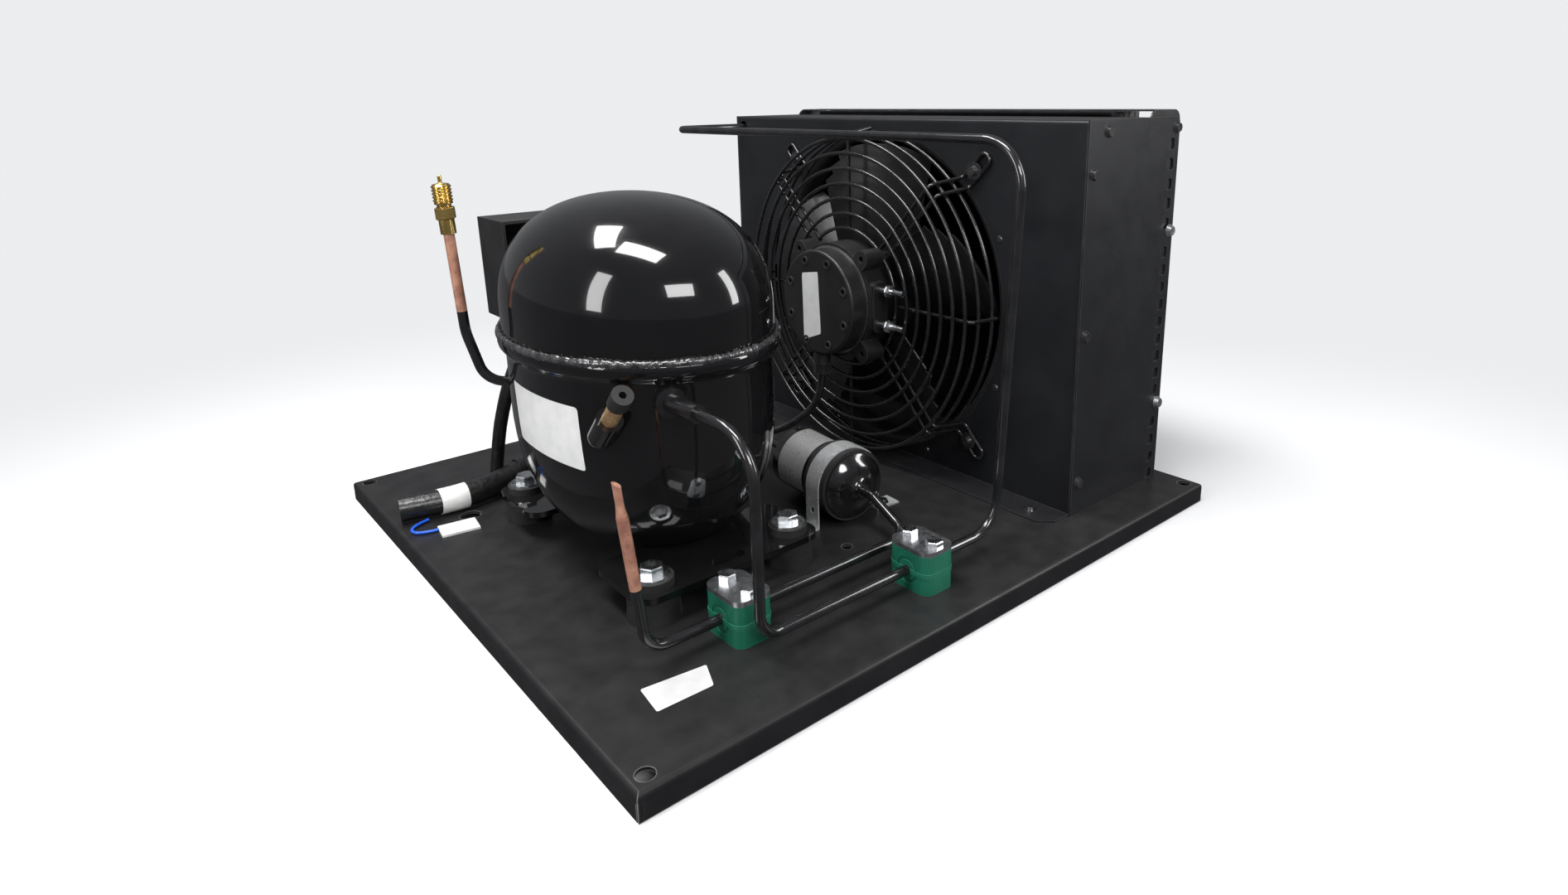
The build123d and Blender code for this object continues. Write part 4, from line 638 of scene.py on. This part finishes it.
def turned(name, outline, sides, body):
    """A turned brass piece on the valve's axis, from pairs of radius and height in mm."""
    verts = []
    for radius, height in outline:
        for i in range(sides):
            turn = 2 * math.pi * (i + 0.5) / sides
            verts.append((radius * math.cos(turn) / 1000, radius * math.sin(turn) / 1000, height / 1000))
    faces = ring_faces(len(outline), sides)
    faces.append(tuple(reversed(range(sides))))
    faces.append(tuple(range((len(outline) - 1) * sides, len(outline) * sides)))
    piece = mesh_piece(name, verts, faces, brass, smooth=False)
    piece.location = valve_foot
    piece.rotation_euler = valve_axis.to_track_quat("Z", "Y").to_euler()
    edge = piece.modifiers.new("edges", "BEVEL")
    edge.width = 0.00025
    edge.segments = 2
    edge.limit_method = "ANGLE"
    edge.harden_normals = True
    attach(piece, body)
    return piece


thread_root = 5.1
thread_crest = 5.9
thread_pitch = 2.1
thread_start = 13
thread_turns = 5
flank_end = 0.7
crest_end = 1.2
thread_end = 1.9
neck_outline = [
    (4.7, -7), (4.7, 2.2), (4.2, 2.2), (4.2, 9.8),
    (4.3, 9.9), (4.3, 11.6), (5.5, 11.7), (5.5, 12.8),
]
for crest in range(thread_turns):
    foot = thread_start + thread_pitch * crest
    neck_outline.append((thread_root, foot))
    neck_outline.append((thread_crest, foot + flank_end))
    neck_outline.append((thread_crest, foot + crest_end))
    neck_outline.append((thread_root, foot + thread_end))
neck_outline += [(thread_root, 23.6), (4.6, 24), (2.0, 24)]
valve_neck = turned("valve_neck", neck_outline, 48, "unit")
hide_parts("service_valve_body")
hexagon_outline = [(5.4, 2.0), (6.3, 2.6), (6.3, 9.2), (5.4, 9.8)]
turned("valve_hexagon", hexagon_outline, 6, "unit")
stem_outline = [(2.0, 22.5), (2.0, 24.3), (1.2, 24.5), (1.2, 28.8), (0.8, 29.3)]
valve_stem = turned("valve_stem", stem_outline, 24, "valve_core")
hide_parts("service_valve_pin")

# ---------------------------------------------------------------------------
# Filter drier: a spun steel can in gloss black, with a bare silver sticker,
# held by a bright strap over a rubber strip.
# ---------------------------------------------------------------------------

drier_enamel = finish("drier enamel", (0.004, 0.004, 0.0045), (0.008, 0.008, 0.0085), rough=(0.12, 0.2),
                      patch=40, coat=1.0, coat_rough=0.04)
bright_strap = finish("bright strap steel", (0.62, 0.63, 0.64), (0.70, 0.70, 0.70), rough=(0.2, 0.34),
                      patch=60, metallic=0.55, wear_and_highlight_colour=(0.95, 0.95, 0.95), wear_and_highlight_width=0.0004)
give(drier_enamel, "filter_drier")
silver_finish = finish("silver sticker", (0.50, 0.50, 0.49), (0.55, 0.55, 0.54), rough=(0.26, 0.34),
                       patch=200, metallic=0.5)
drier_centre = Vector((0.005, -0.064, 0.044))
drier_turn = math.radians(5)
drier_axis = Vector((math.sin(drier_turn), math.cos(drier_turn), 0))
drier_across = Vector((drier_axis.y, -drier_axis.x, 0))
silver_radius = 0.0242
silver_length = 0.032
silver_start = -0.004
silver_from = 205
silver_wrap = 130


def on_drier(u, v):
    """A point of the sticker, which wraps the near upper side of the can."""
    turn = math.radians(silver_from - silver_wrap * v)
    along = drier_axis * (silver_start + silver_length * u)
    outward = drier_across * math.cos(turn) + Vector((0, 0, math.sin(turn)))
    return drier_centre + along + outward * silver_radius


sticker("drier_label", on_drier, silver_finish, corner_u=0.08, corner_v=0.05)
give(bright_strap, "drier_strap")

# ---------------------------------------------------------------------------
# Condenser housing: folded sheet with two screwed side panels, fine black
# powder coat, black screws, and a riveted fan ring in a rougher dark grey.
# ---------------------------------------------------------------------------

house_coat = finish("fine black coat", (0.0085, 0.0088, 0.0105), (0.0115, 0.012, 0.014),
                    rough=(0.32, 0.42), patch=24, grain=2200, relief=0.00005, wear_and_highlight_colour=(0.16, 0.16, 0.17),
                    wear_and_highlight_width=0.0007, wear_and_highlight_strength=0.7, film=0.05, specular=0.35)
ring_coat = finish("textured grey coat", (0.010, 0.010, 0.011), (0.016, 0.016, 0.017), rough=(0.45, 0.6),
                   patch=200, grain=1500, relief=0.0001)
black_screw = finish("black plated screw", (0.014, 0.014, 0.015), (0.03, 0.03, 0.03), rough=(0.22, 0.4),
                     patch=150, metallic=0.3, coat=0.5, wear_and_highlight_colour=(0.25, 0.25, 0.25), wear_and_highlight_width=0.0003)
give(house_coat, "housing_front_and_top", "side_panel_left", "side_panel_right")
give(ring_coat, "fan_ring")
give(black_screw, "panel_screws", "tray_screws", "guard_screws", "ring_rivets", "motor_screws")

# ---------------------------------------------------------------------------
# Fan: wire guard in semi-gloss black, moulded motor body and a moulded rotor
# with saw-edged blades.
# ---------------------------------------------------------------------------

guard_coat = finish("guard coat", (0.005, 0.005, 0.0055), (0.010, 0.010, 0.0105), rough=(0.2, 0.34),
                    patch=80, coat=0.6, coat_rough=0.12)
motor_plastic = finish("motor plastic", (0.009, 0.009, 0.0095), (0.014, 0.014, 0.0145),
                       rough=(0.34, 0.46), patch=40, grain=1300, relief=0.00005, wear_and_highlight_colour=(0.14, 0.14, 0.14),
                       wear_and_highlight_width=0.0006, film=0.1)
fan_plastic = finish("fan plastic", (0.006, 0.006, 0.007), (0.010, 0.010, 0.011), rough=(0.34, 0.46),
                     patch=40, grain=900, relief=0.00004, wear_and_highlight_colour=(0.10, 0.10, 0.11), wear_and_highlight_width=0.0006,
                     film=0.1)
steel = finish("ground steel", (0.55, 0.55, 0.56), (0.66, 0.66, 0.67), rough=(0.25, 0.4), patch=200,
               metallic=1.0)
give(guard_coat, "fan_guard")
cover_face = 0.0538
motor_label_corners = [
    (cover_face, 0.0196, 0.1769), (cover_face, -0.0005, 0.1802),
    (cover_face, -0.0031, 0.1295), (cover_face, 0.0186, 0.1212),
]


def on_motor(u, v):
    """A point of the motor's bare label, flat on the face of its cover."""
    return between(motor_label_corners, u, v)


sticker("motor_label", on_motor, label_finish, corner_u=0.12, corner_v=0.06)
give(motor_plastic, "motor_cover", "motor_housing", "motor_gland")
give(fan_plastic, "fan_rotor")
give(steel, "motor_shaft", "motor_stator")

# ---------------------------------------------------------------------------
# Condenser coil: a black coated sheet frame round a close pack of thin folded
# aluminium fins, which reach almost to the frame's top.  The fins are coloured
# near black as painted shade, for the shade inside the housing.
# ---------------------------------------------------------------------------

coil_black = finish("coil end coat", (0.008, 0.008, 0.009), (0.012, 0.012, 0.013), rough=(0.3, 0.45),
                    patch=40, wear_and_highlight_colour=(0.3, 0.3, 0.3), wear_and_highlight_width=0.0006)
# painted shade: the fins are coloured near black for the shade inside the housing
fin_painted_shade = finish("fin aluminium in painted shade", (0.014, 0.014, 0.015), (0.022, 0.022, 0.023), rough=(0.4, 0.5),
                   patch=90)
give(coil_black, "coil_frame")
frame_gap = 0.0014
fin_wave = 0.0004
fin_total = 180
fin_folds = 10
fin_low, fin_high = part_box("coil_fins")
fin_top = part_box("coil_frame")[1].z - frame_gap
fin_verts = []
fin_faces = []
for fin in range(fin_total):
    fin_y = fin_low.y + (fin_high.y - fin_low.y) * fin / (fin_total - 1)
    first = fin * (fin_folds + 1) * 2
    for fold in range(fin_folds + 1):
        fin_x = fin_low.x + (fin_high.x - fin_low.x) * fold / fin_folds
        wave = fin_wave if fold % 2 else -fin_wave
        fin_verts.append((fin_x, fin_y + wave, fin_low.z))
        fin_verts.append((fin_x, fin_y + wave, fin_top))
    for fold in range(fin_folds):
        corner = first + 2 * fold
        fin_faces.append((corner, corner + 2, corner + 3, corner + 1))
fin_pack = mesh_piece("fin_pack", fin_verts, fin_faces, fin_painted_shade, smooth=False)
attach(fin_pack, "unit")
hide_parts("coil_fins")

# ---------------------------------------------------------------------------
# Terminal box: a moulded black cover on the compressor's flank, over the
# starter block that it encloses.
# ---------------------------------------------------------------------------

box_plastic = finish("box plastic", (0.008, 0.008, 0.0085), (0.013, 0.013, 0.0135), rough=(0.36, 0.5),
                     patch=40, grain=1200, relief=0.00005, wear_and_highlight_colour=(0.09, 0.09, 0.09), wear_and_highlight_width=0.0007,
                     film=0.1)
give(box_plastic, "terminal_cover", "terminal_block")

# ---------------------------------------------------------------------------
# Cable finishes: soft black vinyl on the cables and their tie, blue insulation
# on the thin wire, and white vinyl for the tape and the bare flag label.
# ---------------------------------------------------------------------------

vinyl_black = finish("black vinyl", (0.006, 0.006, 0.0065), (0.012, 0.012, 0.0125), rough=(0.28, 0.45),
                     patch=160, coat=0.3, coat_rough=0.2, grain=240, relief=0.0006)
vinyl_white = finish("white vinyl", (0.72, 0.72, 0.70), (0.82, 0.82, 0.80), rough=(0.3, 0.45), patch=120,
                     coat=0.3, coat_rough=0.2)
blue_wire = finish("blue insulation", (0.012, 0.09, 0.62), (0.02, 0.13, 0.75), rough=(0.3, 0.4),
                   patch=200)
for cable in (sleeve_cable, bundle_cable, motor_lead):
    cable.data.materials.append(vinyl_black)
label_lead.data.materials.append(blue_wire)
give(vinyl_black, "cable_tie")
give(vinyl_white, "tape_band", "flag_label")
